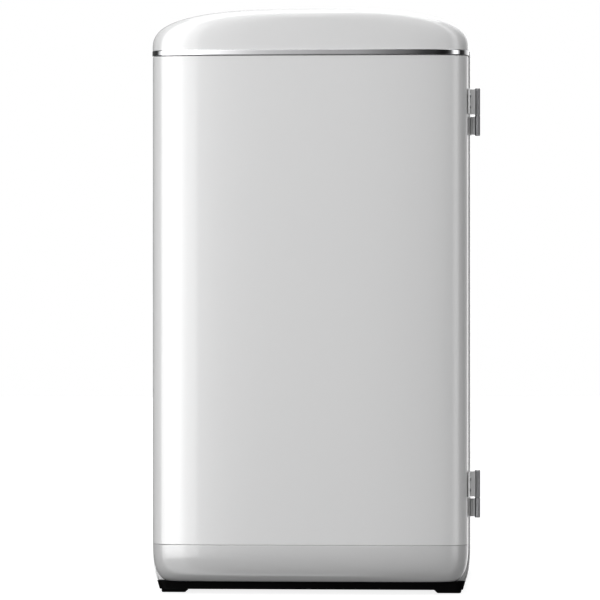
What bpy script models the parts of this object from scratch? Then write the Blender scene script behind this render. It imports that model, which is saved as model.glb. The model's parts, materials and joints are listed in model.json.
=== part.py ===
"""Free-standing trash compactor with a right-hinged door, a domed cap and a screw-driven ram.

Metres, +Z up. The front faces -Y and the hinges are on the +X side. Every length below is in the
cabinet's own frame, whose x = 0 is the cabinet's middle; CABINET_SHIFT then centres the object with
its hinges. Everything stands on z = 0.
"""

from math import acos, atan2, cos, hypot, pi, sin, sqrt

import bmesh
import bpy
from mathutils import Matrix, Vector

# Overall sizes
CABINET_SHIFT = -0.0075
CABINET_HALF_WIDTH = 0.235
CABINET_FRONT = -0.236
CABINET_REAR = 0.297
CABINET_TOP = 0.800
FRONT_HALF_WIDTH = 0.233
FRONT_DEPTH = 0.0597
FRONT_BACK = -0.2403
CORNER_EXPONENT = 5.0
SHEET = 0.002
SKIN = 0.0025
GAP = 0.0003

# Sides tuck in a little towards the floor
SIDE_BOTTOM = 0.018
TUCK_START = 0.066
TUCK_HEIGHT = 0.050
TUCK_DEPTH = 0.010

# Domed cap and trim band
CAP_BOTTOM = 0.8003
CAP_HEIGHT = 0.0607
CAP_HALF_WIDTH = 0.2335
CAP_EXPONENT = 2.9
CAP_FRONT = -0.300
CAP_REAR = 0.300
CAP_ROLL = 0.016
TRIM_BOTTOM = 0.7925
TRIM_TOP = 0.800
TRIM_STAND_PROUD = 0.001

# Lower front panel
KICK_TOP = 0.0725
KICK_CURVE_HEIGHT = 0.0553
KICK_REACH = 0.985
KICK_EXPONENT = 2.6
KICK_SIDE_INSET = 0.029
KICK_FRONT_INSET = 0.042

# Base and feet
PAN_BOTTOM = 0.015
PAN_TOP = 0.0177
PAN_HALF_WIDTH = 0.2283
PAN_FLARE = 0.0035
PAN_CORNER = 0.012
PAN_FRONT = -0.252
PAN_REAR = 0.290
SKIRT_BOTTOM = 0.0055
FOOT_OUTER = 0.222
FOOT_INNER = 0.182
FOOT_CHAMFER = 0.005
FOOT_EDGE = 0.002
FOOT_LENGTH = 0.040
FOOT_TOP = 0.0147

# Door opening frame
FRAME_BACK = -0.226
FRAME_HALF_WIDTH = 0.2327
OPENING_HALF_WIDTH = 0.2075
OPENING_TOP = 0.7550
BED_BOTTOM = 0.106
BED_TOP = 0.110

# Door
DOOR_BOTTOM = 0.0735
DOOR_TOP = 0.7915
DOOR_PANEL_BACK = -0.2408
DOOR_PANEL_THICKNESS = 0.005
GRIP_BOTTOM = 0.440
GRIP_TOP = 0.580
GRIP_REACH = 0.014
GRIP_DEPTH = 0.020
GRIP_WALL = 0.0018
GASKET_WIDTH = 0.012
GASKET_HALF_WIDTH = 0.226
GASKET_BOTTOM = 0.083
GASKET_TOP = 0.782
MAGNET_LEFT = -0.190
MAGNET_LENGTH = 0.020
MAGNET_BOTTOM = 0.757
MAGNET_HEIGHT = 0.011

# Hinges
HINGE_AXIS = Vector((0.246, -0.238, 0.0))
HINGE_RADIUS = 0.004
PIN_RADIUS = 0.002
PIN_CLEARANCE = 0.0002
HINGE_BOTTOMS = {"lower": 0.1120, "upper": 0.6755}
CABINET_KNUCKLE_HEIGHT = 0.0295
DOOR_KNUCKLE_HEIGHT = 0.0400
LEAF_THICKNESS = 0.002
LEAF_LENGTH = 0.034

# Compaction chamber
CHAMBER_REAR = 0.190
CHAMBER_TOP = 0.770

# Lead screws, ram and nuts
SCREW_X = 0.180
SCREW_Y = -0.005
SCREW_RADIUS = 0.010
JOURNAL_RADIUS = 0.008
RUNNING_GAP = 0.0003
SCREW_BOTTOM = 0.0285
SCREW_THREAD_BOTTOM = 0.085
SCREW_THREAD_TOP = 0.774
SCREW_TOP = 0.790
BEARING_RADIUS = 0.018
BEARING_TOP = 0.054
BEARING_DRAIN_RADIUS = 0.003
TOP_BEAM_BOTTOM = 0.776
TOP_BEAM_TOP = 0.788
BEAM_BOTTOM = 0.735
BEAM_TOP = 0.765
BEAM_HALF_LENGTH = 0.199
BEAM_HALF_DEPTH = 0.025
NUT_RADIUS = 0.016
NUT_FLANGE_RADIUS = 0.019
NUT_FLANGE_THICKNESS = 0.005
NUT_TAIL = 0.004
COLUMN_HALF_WIDTH = 0.040
COLUMN_HALF_DEPTH = 0.030
COLUMN_WALL = 0.003
PLATE_BOTTOM = 0.488
PLATE_TOP = 0.500
PLATE_HALF_WIDTH = 0.130
PLATE_HALF_DEPTH = 0.145
PLATE_CORNER = 0.020
PLATE_CHAMFER = 0.003

# Drive train
CHAIN_BOTTOM = 0.0775
CHAIN_TOP = 0.0825
CHAIN_THICKNESS = 0.005
CHAIN_PITCH = 0.009525
SCREW_SPROCKET_TEETH = 24
DRIVE_SPROCKET_TEETH = 12
SPROCKET_TIP = 0.0032
SPROCKET_ROOT = 0.0030
SPROCKET_BOTTOM = 0.0765
SPROCKET_TOP = 0.0835
TOOTH_HALF_WIDTHS = (0.27, 0.19, 0.09)
GEAR_MODULE = 0.002
GEAR_DEDENDUM = 1.2
GEAR_ADDENDUM = 0.8
GEAR_TEETH = 60
PINION_TEETH = 12
GEAR_BOTTOM = 0.045
GEAR_TOP = 0.055
DRIVE_Y = 0.171
MOTOR_Y = DRIVE_Y + GEAR_MODULE * (GEAR_TEETH + PINION_TEETH) / 2
MOTOR_RADIUS = 0.047
MOTOR_CAN_RADIUS = 0.043
MOTOR_FLANGE = 0.006
MOTOR_CHAMFER = 0.008
MOTOR_TOP = 0.245
HUB_RADIUS = 0.014
HUB_OVERHANG = 0.004
PINION_OVERHANG = 0.001
SHAFT_RADIUS = 0.006

# Bin and carriage
BIN_HALF_WIDTH = 0.145
BIN_FRONT = -0.175
BIN_REAR = 0.165
BIN_BOTTOM = 0.1273
BIN_TOP = 0.455
BIN_WALL = 0.003
BIN_TAPER = 0.008
BIN_CORNER = 0.025
BIN_RIM = 0.004
BIN_RIM_HEIGHT = 0.014
RAIL_X = 0.120
RAIL_HALF_WIDTH = 0.0125
RAIL_WALL = 0.0025
RAIL_TOP = 0.1225
RAIL_FRONT = -0.220
RAIL_REAR = 0.170
TRAY_BOTTOM = 0.124
TRAY_TOP = 0.127
TRAY_HALF_WIDTH = 0.152
TRAY_EDGE_TOP = 0.140
TRAY_FRONT = -0.180
RUNNER_HALF_WIDTH = 0.007
RUNNER_BOTTOM = 0.1135
HANDLE_AXIS = Vector((0.0, -0.181, 0.420))
HANDLE_HALF_WIDTH = 0.0815
HANDLE_DROP = 0.048
HANDLE_THICKNESS = 0.006
HANDLE_BAR = 0.012
HANDLE_CORNER = 0.010
HANDLE_RISE = 0.004
EAR_CLEARANCE = 0.0015
EAR_THICKNESS = 0.005
EAR_REACH = 0.009
EAR_HALF_HEIGHT = 0.008
LOCK_AXIS = Vector((0.140, -0.1823, 0.1325))
LOCK_LENGTH = 0.045
LOCK_EYE_RADIUS = 0.007
LOCK_TIP = 0.0045

# Window for the mains inlet in the rear cover
INLET_LEFT = -0.175
INLET_RIGHT = -0.135
INLET_BOTTOM = 0.060
INLET_TOP = 0.094
INLET_FLANGE = 0.004
INLET_DEPTH = 0.020
INLET_SOCKET_DEPTH = 0.014
LOUVRE_ROWS = 6
LOUVRE_BOTTOM = 0.150
LOUVRE_PITCH = 0.018
LOUVRE_HEIGHT = 0.006
LOUVRE_HALF_LENGTH = 0.070
SWITCH_X = (-0.198, -0.168)
SWITCH_Z = (0.757, 0.772)
SWITCH_DEPTH = 0.010
BOARD_X = (-0.200, -0.080)
BOARD_Z = (0.450, 0.600)
BOARD_DEPTH = 0.020
FILTER_X = (-0.060, 0.060)
FILTER_Z = (0.600, 0.700)
FILTER_DEPTH = 0.030

# Controls
PANEL_BOTTOM = 0.702
PANEL_FRONT = -0.2357
PANEL_THICKNESS = 0.003
CONTROL_Z = 0.728
BUTTON_FRONT = -0.2385
BUTTON_BACK = -0.2270
BUTTON_RADIUS = 0.0095
BUTTON_EDGE = 0.001
KNOB_RADIUS = 0.0115
KEYHOLE_HALF_WIDTH = 0.001
KEYHOLE_HALF_HEIGHT = 0.006
KEYHOLE_DEPTH = 0.004
BUTTON_X = {"start_button": -0.060, "stop_button": 0.0}
KNOB_X = 0.070

# Number of straight segments along curved outlines
PLAN_SEGMENTS = 28
ARCH_SEGMENTS = 28
ROUND_SEGMENTS = 24

ORIGIN = Vector((0.0, 0.0, 0.0))
SCREW_AXES = {
    "left": Vector((-SCREW_X, SCREW_Y, 0.0)),
    "right": Vector((SCREW_X, SCREW_Y, 0.0)),
}
DRIVE_AXIS = Vector((0.0, DRIVE_Y, 0.0))
MOTOR_AXIS = Vector((0.0, MOTOR_Y, 0.0))
SIGN = {"left": -1.0, "right": 1.0}


# ---------------------------------------------------------------- scene and meshes

def clear_scene():
    """Remove every object that the open file holds."""
    for item in list(bpy.data.objects):
        bpy.data.objects.remove(item, do_unlink=True)


def make_material(name, colour, roughness, metallic=0.0):
    """A plain Principled material."""
    finish = bpy.data.materials.new(name)
    finish.use_nodes = True
    shader = finish.node_tree.nodes["Principled BSDF"]
    shader.inputs["Base Color"].default_value = (*colour, 1.0)
    shader.inputs["Roughness"].default_value = roughness
    shader.inputs["Metallic"].default_value = metallic
    return finish


def make_finishes():
    """Every finish that the pieces use, by name."""
    looks = {
        "white_enamel": ((0.86, 0.86, 0.86), 0.22, 0.0),
        "trim_chrome": ((0.62, 0.62, 0.63), 0.08, 1.0),
        "hinge_steel": ((0.45, 0.45, 0.46), 0.35, 1.0),
        "black_plastic": ((0.02, 0.02, 0.02), 0.45, 0.0),
        "grey_plastic": ((0.30, 0.31, 0.32), 0.50, 0.0),
        "galvanised": ((0.55, 0.56, 0.58), 0.42, 1.0),
        "machine_steel": ((0.40, 0.41, 0.42), 0.30, 1.0),
        "black_rubber": ((0.03, 0.03, 0.03), 0.80, 0.0),
        "stop_red": ((0.55, 0.03, 0.02), 0.35, 0.0),
        "start_green": ((0.03, 0.35, 0.08), 0.35, 0.0),
        "motor_paint": ((0.06, 0.07, 0.08), 0.40, 0.0),
    }
    return {name: make_material(name, *look) for name, look in looks.items()}


def loft(rings, closed=False):
    """Skin equal rings in turn; the ends are capped, or the last ring meets the first."""
    shape = bmesh.new()
    loops = [[shape.verts.new(point) for point in ring] for ring in rings]
    pairs = list(zip(loops, loops[1:]))
    if closed:
        pairs.append((loops[-1], loops[0]))
    else:
        shape.faces.new(loops[0])
        shape.faces.new(loops[-1])
    count = len(loops[0])
    for near, far in pairs:
        for i in range(count):
            j = (i + 1) % count
            shape.faces.new((near[i], near[j], far[j], far[i]))
    bmesh.ops.recalc_face_normals(shape, faces=shape.faces)
    mesh = bpy.data.meshes.new("shape")
    shape.to_mesh(mesh)
    shape.free()
    return mesh


def add_piece(name, mesh, finish, pivot=ORIGIN):
    """Place a mesh that is drawn in the cabinet frame, with its origin on the pivot."""
    mesh.name = name
    mesh.transform(Matrix.Translation(-pivot))
    mesh.materials.append(FINISHES[finish])
    piece = bpy.data.objects.new(name, mesh)
    bpy.context.collection.objects.link(piece)
    piece.parent = CABINET
    piece.location = pivot
    return piece


def shade_round(piece, angle=0.6):
    """Smooth shading with sharp edges above the angle."""
    piece.data.shade_smooth()
    piece.data.set_sharp_from_angle(angle=angle)


def bevel_edges(piece, width, segments=2):
    """Break the piece's sharp edges."""
    modifier = piece.modifiers.new("edge_break", "BEVEL")
    modifier.width = width
    modifier.segments = segments
    modifier.limit_method = "ANGLE"


def combine(piece, mesh, operation, name):
    """Cut a mesh, drawn in the cabinet frame, out of the piece, or join it on."""
    mesh.transform(Matrix.Translation(-piece.location))
    tool = bpy.data.objects.new(name, mesh)
    bpy.context.collection.objects.link(tool)
    tool.parent = CABINET
    tool.location = piece.location
    tool.hide_render = True
    tool.display_type = "WIRE"
    modifier = piece.modifiers.new(name, "BOOLEAN")
    modifier.operation = operation
    modifier.solver = "EXACT"
    modifier.object = tool


# ---------------------------------------------------------------- outlines and plain solids

def box(low, high):
    """A rectangular block between two corners."""
    (x0, y0, z0), (x1, y1, z1) = low, high
    return loft([
        [(x0, y0, z), (x1, y0, z), (x1, y1, z), (x0, y1, z)]
        for z in (z0, z1)
    ])


def block(across, along, up):
    """A rectangular block between pairs of limits in x, y and z."""
    return box(*zip(across, along, up))


def at_height(outline, z):
    """A plan outline as a ring at one height."""
    return [(x, y, z) for x, y in outline]


def prism_x(outline, start, end):
    """Extrude a (y, z) outline along x."""
    return loft([[(x, y, z) for y, z in outline] for x in (start, end)])


def prism_y(outline, start, end):
    """Extrude an (x, z) outline along y."""
    return loft([[(x, y, z) for x, z in outline] for y in (start, end)])


def prism_z(outline, start, end):
    """Extrude an (x, y) outline along z."""
    return loft([at_height(outline, z) for z in (start, end)])


def circle(centre, radius, segments=ROUND_SEGMENTS):
    """A round plan outline."""
    return [
        (centre[0] + radius * cos(2 * pi * i / segments), centre[1] + radius * sin(2 * pi * i / segments))
        for i in range(segments)
    ]


def turned_z(centre, profile, segments=ROUND_SEGMENTS):
    """A solid of revolution about a vertical axis from (radius, z) points, bottom to top."""
    return loft([at_height(circle(centre, radius, segments), z) for radius, z in profile])


def tube_z(centre, profile, segments=ROUND_SEGMENTS):
    """A bored solid of revolution from a closed (radius, z) outline."""
    return loft([at_height(circle(centre, radius, segments), z) for radius, z in profile], closed=True)


def turned_y(x, z, profile, segments=ROUND_SEGMENTS):
    """A solid of revolution about an axis along y from (radius, y) points."""
    return loft([
        [(x + dx, y, z + dz) for dx, dz in circle((0.0, 0.0), radius, segments)]
        for radius, y in profile
    ])


def frame_ring(outer, inner, start, end):
    """A closed frame in the x-z plane between two equal outlines, extruded along y."""
    return loft([
        [(x, start, z) for x, z in outer],
        [(x, end, z) for x, z in outer],
        [(x, end, z) for x, z in inner],
        [(x, start, z) for x, z in inner],
    ], closed=True)


def rectangle(x0, y0, x1, y1):
    """Corners of a flat rectangle, counter-clockwise."""
    return [(x0, y0), (x1, y0), (x1, y1), (x0, y1)]


def rounded_rectangle(x0, y0, x1, y1, radius, steps=4):
    """A rectangle with round corners, counter-clockwise."""
    corners = [
        (x1 - radius, y1 - radius, 0.0),
        (x0 + radius, y1 - radius, pi / 2),
        (x0 + radius, y0 + radius, pi),
        (x1 - radius, y0 + radius, 3 * pi / 2),
    ]
    return [
        (cx + radius * cos(start + pi / 2 * i / steps), cy + radius * sin(start + pi / 2 * i / steps))
        for cx, cy, start in corners
        for i in range(steps + 1)
    ]


def signed_power(value, exponent):
    """A power that keeps the sign of its base."""
    return abs(value) ** exponent * (1.0 if value >= 0.0 else -1.0)


def front_outline(half_width, depth, back):
    """Plan of the bowed front with its round corners: a half superellipse, right to left."""
    power = 2.0 / CORNER_EXPONENT
    angles = [pi * i / PLAN_SEGMENTS for i in range(PLAN_SEGMENTS + 1)]
    return [
        (half_width * signed_power(cos(a), power), back - depth * signed_power(sin(a), power))
        for a in angles
    ]


def arch(half_width, height, base):
    """The cap's section: a half superellipse in the x-z plane, right to left."""
    power = 2.0 / CAP_EXPONENT
    angles = [pi * i / ARCH_SEGMENTS for i in range(ARCH_SEGMENTS + 1)]
    return [
        (half_width * signed_power(cos(a), power), base + height * signed_power(sin(a), power))
        for a in angles
    ]


# ---------------------------------------------------------------- cabinet shell

def tuck(z):
    """How far a cabinet side stands in from its full width at a height."""
    if z >= TUCK_START:
        return 0.0
    rise = (TUCK_START - z) / TUCK_HEIGHT
    return TUCK_DEPTH * (1.0 - sqrt(1.0 - rise * rise))


def side_profile(inset, bottom, top, steps=6):
    """Section points (x, z) of the right cabinet side moved in, from bottom to top."""
    heights = [bottom + (TUCK_START - bottom) * i / steps for i in range(steps + 1)] + [top]
    return [(CABINET_HALF_WIDTH - tuck(z) - inset, z) for z in heights]


def cabinet_section(inset, bottom, top):
    """Outline of the whole cabinet's section between two heights, moved in at both sides."""
    right = side_profile(inset, bottom, top)
    return right + [(-x, z) for x, z in reversed(right)]


def build_side_panels():
    """Two sheet-metal sides that tuck in at the bottom."""
    outer = side_profile(0.0, SIDE_BOTTOM, CABINET_TOP)
    inner = side_profile(SHEET, SIDE_BOTTOM, CABINET_TOP)
    for side, sign in SIGN.items():
        outline = [(sign * x, z) for x, z in outer + inner[::-1]]
        add_piece(f"{side}_side_panel", prism_y(outline, CABINET_FRONT, CABINET_REAR), "white_enamel")


def build_rear_cover():
    """The flat rear sheet, with louvre slots for the motor and a window for the power inlet."""
    back = CABINET_REAR + GAP
    outline = cabinet_section(SHEET, SIDE_BOTTOM, CABINET_TOP - GAP)
    cover = add_piece("rear_cover", prism_y(outline, back, back + SHEET), "galvanised")
    for row in range(LOUVRE_ROWS):
        z = LOUVRE_BOTTOM + LOUVRE_PITCH * row
        slot = box(
            (-LOUVRE_HALF_LENGTH, back - SHEET, z),
            (LOUVRE_HALF_LENGTH, back + 2 * SHEET, z + LOUVRE_HEIGHT),
        )
        combine(cover, slot, "DIFFERENCE", f"louvre_slot_{row}")
    window = box((INLET_LEFT, back - SHEET, INLET_BOTTOM), (INLET_RIGHT, back + 2 * SHEET, INLET_TOP))
    combine(cover, window, "DIFFERENCE", "inlet_window")


def cap_section(setback, wall):
    """The cap's arch at a distance behind its front, moved in by the wall."""
    into = max(0.0, 1.0 - setback / FRONT_DEPTH)
    half_width = CAP_HALF_WIDTH * (1.0 - into ** CORNER_EXPONENT) ** (1.0 / CORNER_EXPONENT)
    roll = max(0.0, 1.0 - setback / CAP_ROLL)
    height = CAP_HEIGHT - CAP_ROLL * (1.0 - sqrt(1.0 - roll * roll))
    y = CAP_FRONT + setback + wall
    base = CAP_BOTTOM - (GAP if wall else 0.0)
    section = arch(half_width - wall, height - wall + CAP_BOTTOM - base, base)
    return [(x, y, z) for x, z in section]


def build_top_cap():
    """The domed cap: an arch carried from front to rear whose front edge rolls over."""
    setbacks = [0.0004, 0.0015, 0.004, 0.008, 0.013, 0.020, 0.032, FRONT_DEPTH]
    length = CAP_REAR - CAP_FRONT
    outside = [cap_section(s, 0.0) for s in setbacks + [length]]
    inside = [cap_section(s, SKIN) for s in setbacks[2:] + [length - 2 * SKIN]]
    cap = add_piece("top_cap", loft(outside), "white_enamel")
    combine(cap, loft(inside), "DIFFERENCE", "cap_hollow")


def build_trim_band():
    """The chromed moulding that closes the cap's underside over the door."""
    outline = front_outline(
        FRONT_HALF_WIDTH + TRIM_STAND_PROUD,
        FRONT_DEPTH + TRIM_STAND_PROUD + CABINET_FRONT - FRONT_BACK,
        CABINET_FRONT - GAP,
    )
    add_piece("trim_band", prism_z(outline, TRIM_BOTTOM, TRIM_TOP), "trim_chrome")


def kick_ring(z, wall):
    """The lower front panel's plan at a height, moved in by the wall."""
    drop = min(1.0, (KICK_TOP - z) / KICK_CURVE_HEIGHT)
    curve = 1.0 - (1.0 - drop ** KICK_EXPONENT) ** (1.0 / KICK_EXPONENT)
    depth = CABINET_FRONT - GAP - CAP_FRONT
    return front_outline(
        FRONT_HALF_WIDTH - KICK_SIDE_INSET * curve - wall,
        depth - KICK_FRONT_INSET * curve - wall,
        CABINET_FRONT - GAP,
    )


def build_lower_front_panel():
    """The panel below the door, a shell whose face curves under towards the floor."""
    steps = 9
    heights = [
        KICK_TOP - KICK_CURVE_HEIGHT * KICK_REACH * sin(0.5 * pi * i / steps)
        for i in range(steps + 1)
    ]
    panel = add_piece(
        "lower_front_panel",
        loft([at_height(kick_ring(z, 0.0), z) for z in heights]),
        "white_enamel",
    )
    inside = [
        [(x, y + (GAP if y > CABINET_FRONT - 0.002 else 0.0), z) for x, y in kick_ring(z, SKIN)]
        for z in [KICK_TOP - SKIN] + heights[2:]
    ]
    inside.append([(x, y, z - SKIN) for x, y, z in inside[-1]])
    combine(panel, loft(inside), "DIFFERENCE", "panel_hollow")


def build_base():
    """The black base pan, a shallow upturned tray that flares to the cabinet, and four feet."""
    def ring(z, wall):
        rise = (z - SKIRT_BOTTOM) / (PAN_TOP - SKIRT_BOTTOM)
        half = PAN_HALF_WIDTH - PAN_FLARE * (1.0 - rise) - wall
        return at_height(rounded_rectangle(
            -half, PAN_FRONT + wall, half, PAN_REAR - wall, PAN_CORNER - wall,
        ), z)

    rings = [
        ring(SKIRT_BOTTOM, 0.0),
        ring(PAN_TOP, 0.0),
        ring(PAN_BOTTOM, SHEET),
        ring(SKIRT_BOTTOM, SHEET),
    ]
    pan = loft([rings[2], rings[3], rings[0], rings[1]])
    add_piece("base_pan", pan, "black_plastic")
    starts = {
        "front": PAN_FRONT + PAN_CORNER,
        "rear": PAN_REAR - PAN_CORNER - FOOT_LENGTH,
    }
    for end, start in starts.items():
        for side, sign in SIGN.items():
            profile = [
                (sign * (FOOT_INNER + FOOT_CHAMFER), 0.0),
                (sign * (FOOT_OUTER - FOOT_EDGE), 0.0),
                (sign * FOOT_OUTER, FOOT_EDGE),
                (sign * FOOT_OUTER, FOOT_TOP),
                (sign * FOOT_INNER, FOOT_TOP),
                (sign * FOOT_INNER, FOOT_CHAMFER),
            ]
            add_piece(f"{end}_{side}_foot", prism_y(profile, start, start + FOOT_LENGTH), "black_rubber")


def build_door_frame():
    """Posts and rails round the chamber's mouth, which the gasket closes on."""
    for side, sign in SIGN.items():
        low, high = sorted((sign * OPENING_HALF_WIDTH, sign * FRAME_HALF_WIDTH))
        post = box((low, CABINET_FRONT, BED_TOP + GAP), (high, FRAME_BACK, OPENING_TOP))
        add_piece(f"{side}_front_post", post, "white_enamel")
    top = box(
        (-FRAME_HALF_WIDTH, CABINET_FRONT, OPENING_TOP + GAP),
        (FRAME_HALF_WIDTH, FRAME_BACK, CABINET_TOP - GAP),
    )
    add_piece("top_front_rail", top, "white_enamel")
    outline = cabinet_section(SHEET + GAP, SIDE_BOTTOM + GAP, BED_BOTTOM - GAP)
    add_piece("bottom_front_rail", prism_y(outline, CABINET_FRONT, FRAME_BACK), "white_enamel")


def build_chamber():
    """Bed plate, liners and rear wall of the compaction chamber."""
    bed = add_piece(
        "chamber_floor",
        box((-FRAME_HALF_WIDTH, CABINET_FRONT + GAP, BED_BOTTOM), (FRAME_HALF_WIDTH, CABINET_REAR, BED_TOP)),
        "galvanised",
    )
    for side, axis in SCREW_AXES.items():
        hole = prism_z(circle(axis, SCREW_RADIUS + 0.002), BED_BOTTOM - SHEET, BED_TOP + SHEET)
        combine(bed, hole, "DIFFERENCE", f"{side}_screw_hole")
    hole = prism_z(circle(MOTOR_AXIS, SHAFT_RADIUS + 0.004), BED_BOTTOM - SHEET, BED_TOP + SHEET)
    combine(bed, hole, "DIFFERENCE", "motor_shaft_hole")
    for side, sign in SIGN.items():
        low, high = sorted((sign * (OPENING_HALF_WIDTH - SHEET), sign * (OPENING_HALF_WIDTH - GAP)))
        liner = box((low, FRAME_BACK + GAP, BED_TOP + GAP), (high, CHAMBER_REAR, CHAMBER_TOP))
        add_piece(f"{side}_chamber_liner", liner, "galvanised")
    wall = box(
        (-OPENING_HALF_WIDTH, CHAMBER_REAR + GAP, BED_TOP + GAP),
        (OPENING_HALF_WIDTH, CHAMBER_REAR + SHEET, CHAMBER_TOP),
    )
    add_piece("chamber_rear_wall", wall, "galvanised")


# ---------------------------------------------------------------- door and hinges

def build_door_skin():
    """The tall bowed door skin: a shell open at the rear, notched for the grip."""
    outline = front_outline(FRONT_HALF_WIDTH, FRONT_DEPTH, FRONT_BACK)
    skin = add_piece("door_outer_panel", prism_z(outline, DOOR_BOTTOM, DOOR_TOP), "white_enamel", HINGE_AXIS)
    hollow = [
        (x, y + (SKIN if y > FRONT_BACK - GAP else 0.0))
        for x, y in front_outline(FRONT_HALF_WIDTH - SKIN, FRONT_DEPTH - SKIN, FRONT_BACK)
    ]
    combine(skin, prism_z(hollow, DOOR_BOTTOM + SKIN, DOOR_TOP - SKIN), "DIFFERENCE", "door_hollow")
    notch = box(
        (-FRONT_HALF_WIDTH - SKIN, FRONT_BACK - GRIP_DEPTH, GRIP_BOTTOM),
        (-FRONT_HALF_WIDTH + 2 * SKIN, FRONT_BACK + SKIN, GRIP_TOP),
    )
    combine(skin, notch, "DIFFERENCE", "grip_notch")


def build_door_inside():
    """Inner panel, gasket, magnet and the moulded finger grip in the door's free edge."""
    side = FRONT_HALF_WIDTH - SKIN - 2 * GAP
    inner = add_piece(
        "door_inner_panel",
        box(
            (-side, DOOR_PANEL_BACK - DOOR_PANEL_THICKNESS, DOOR_BOTTOM + SKIN + GAP),
            (side, DOOR_PANEL_BACK, DOOR_TOP - SKIN - GAP),
        ),
        "white_enamel",
        HINGE_AXIS,
    )
    pocket = box(
        (-side - SKIN, DOOR_PANEL_BACK - GRIP_DEPTH, GRIP_BOTTOM - SKIN),
        (-FRONT_HALF_WIDTH + GRIP_REACH + SKIN, DOOR_PANEL_BACK + SKIN, GRIP_TOP + SKIN),
    )
    combine(inner, pocket, "DIFFERENCE", "grip_pocket")
    outer = rectangle(-GASKET_HALF_WIDTH + GRIP_REACH, GASKET_BOTTOM, GASKET_HALF_WIDTH, GASKET_TOP)
    hole = rectangle(
        -GASKET_HALF_WIDTH + GRIP_REACH + GASKET_WIDTH,
        GASKET_BOTTOM + GASKET_WIDTH,
        GASKET_HALF_WIDTH - GASKET_WIDTH,
        GASKET_TOP - GASKET_WIDTH,
    )
    ring = frame_ring(outer, hole, DOOR_PANEL_BACK + GAP, CABINET_FRONT - GAP)
    add_piece("door_gasket", ring, "grey_plastic", HINGE_AXIS)
    magnet = box(
        (MAGNET_LEFT, DOOR_PANEL_BACK + GAP, MAGNET_BOTTOM),
        (MAGNET_LEFT + MAGNET_LENGTH, CABINET_FRONT - 2 * GAP, MAGNET_BOTTOM + MAGNET_HEIGHT),
    )
    add_piece("door_magnet", magnet, "grey_plastic", HINGE_AXIS)
    outside = -FRONT_HALF_WIDTH + GAP
    inside = outside + GRIP_REACH
    front = FRONT_BACK - GRIP_DEPTH + GAP
    bottom, top = GRIP_BOTTOM + GAP, GRIP_TOP - GAP
    scoop = [
        (outside, front),
        (inside, front),
        (inside, FRONT_BACK),
        (inside - GRIP_WALL, FRONT_BACK),
        (inside - GRIP_WALL, front + 2 * GRIP_WALL),
        (outside, front + GRIP_WALL),
    ]
    grip = add_piece("door_grip", prism_z(scoop, bottom, top), "black_plastic", HINGE_AXIS)
    for end, z in {"lower": bottom, "upper": top - GRIP_WALL}.items():
        cheek = box((outside, front, z), (inside, FRONT_BACK, z + GRIP_WALL))
        combine(grip, cheek, "UNION", f"{end}_cheek")


def knuckle_arc(start, end, steps=12):
    """Plan points round the hinge barrel between two angles."""
    return [
        (
            HINGE_AXIS.x + HINGE_RADIUS * cos(start + (end - start) * i / steps),
            HINGE_AXIS.y + HINGE_RADIUS * sin(start + (end - start) * i / steps),
        )
        for i in range(steps + 1)
    ]


def hinge_half(name, outline, bottom, top, pivot, clearance):
    """One leaf with its knuckle, bored for the pin."""
    half = add_piece(name, prism_z(outline, bottom, top), "hinge_steel", pivot)
    bore = prism_z(circle(HINGE_AXIS, PIN_RADIUS + clearance), bottom - SHEET, top + SHEET)
    combine(half, bore, "DIFFERENCE", f"{name}_bore")
    return half


def build_hinges():
    """Two lift-off hinges: a cabinet half with its pin, and a door half that turns on it."""
    side = CABINET_HALF_WIDTH + GAP
    face = FRONT_HALF_WIDTH + GAP
    cabinet_leaf = [
        (side, CABINET_FRONT + 0.004 + LEAF_LENGTH),
        (side, CABINET_FRONT + 0.004),
        *knuckle_arc(0.85 * pi, 2.35 * pi),
        (side + LEAF_THICKNESS, CABINET_FRONT + 0.008),
        (side + LEAF_THICKNESS, CABINET_FRONT + 0.004 + LEAF_LENGTH),
    ]
    door_leaf = [
        (face, FRONT_BACK - LEAF_LENGTH),
        (face + LEAF_THICKNESS, FRONT_BACK - LEAF_LENGTH),
        (face + LEAF_THICKNESS, FRONT_BACK - 0.006),
        *knuckle_arc(-0.35 * pi, 1.15 * pi),
        (face, FRONT_BACK - 0.003),
    ]
    for level, bottom in HINGE_BOTTOMS.items():
        split = bottom + CABINET_KNUCKLE_HEIGHT
        top = split + GAP + DOOR_KNUCKLE_HEIGHT
        hinge_half(f"{level}_cabinet_hinge", cabinet_leaf, bottom, split, ORIGIN, PIN_CLEARANCE / 2)
        hinge_half(f"{level}_door_hinge", door_leaf, split + GAP, top, HINGE_AXIS, PIN_CLEARANCE)
        pin = turned_z(
            HINGE_AXIS,
            [(PIN_RADIUS, bottom + GAP), (PIN_RADIUS, top - 0.001), (PIN_RADIUS / 2, top)],
            ROUND_SEGMENTS,
        )
        add_piece(f"{level}_hinge_pin", pin, "machine_steel")


# ---------------------------------------------------------------- ram, screws and drive

def toothed_outline(centre, teeth, root, pitch, tip, phase=0.0):
    """A wheel outline of narrow trapezoid teeth, its first tooth turned from +Y by phase pitches."""
    step = 2 * pi / teeth
    half = list(zip((root, pitch, tip), TOOTH_HALF_WIDTHS))
    flanks = [(radius, -width) for radius, width in half] + half[::-1]
    points = []
    for tooth in range(teeth):
        middle = pi / 2 + (tooth + phase) * step
        for radius, offset in flanks:
            angle = middle + offset * step
            points.append((centre[0] + radius * cos(angle), centre[1] + radius * sin(angle)))
    return points


def gear_outline(centre, teeth, phase=0.0):
    """A spur gear's outline."""
    pitch = GEAR_MODULE * teeth / 2
    root, tip = pitch - GEAR_DEDENDUM * GEAR_MODULE, pitch + GEAR_ADDENDUM * GEAR_MODULE
    return toothed_outline(centre, teeth, root, pitch, tip, phase)


def chain_pitch_radius(teeth):
    """Radius of the chain's rollers on a sprocket."""
    return CHAIN_PITCH / (2.0 * sin(pi / teeth))


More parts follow.
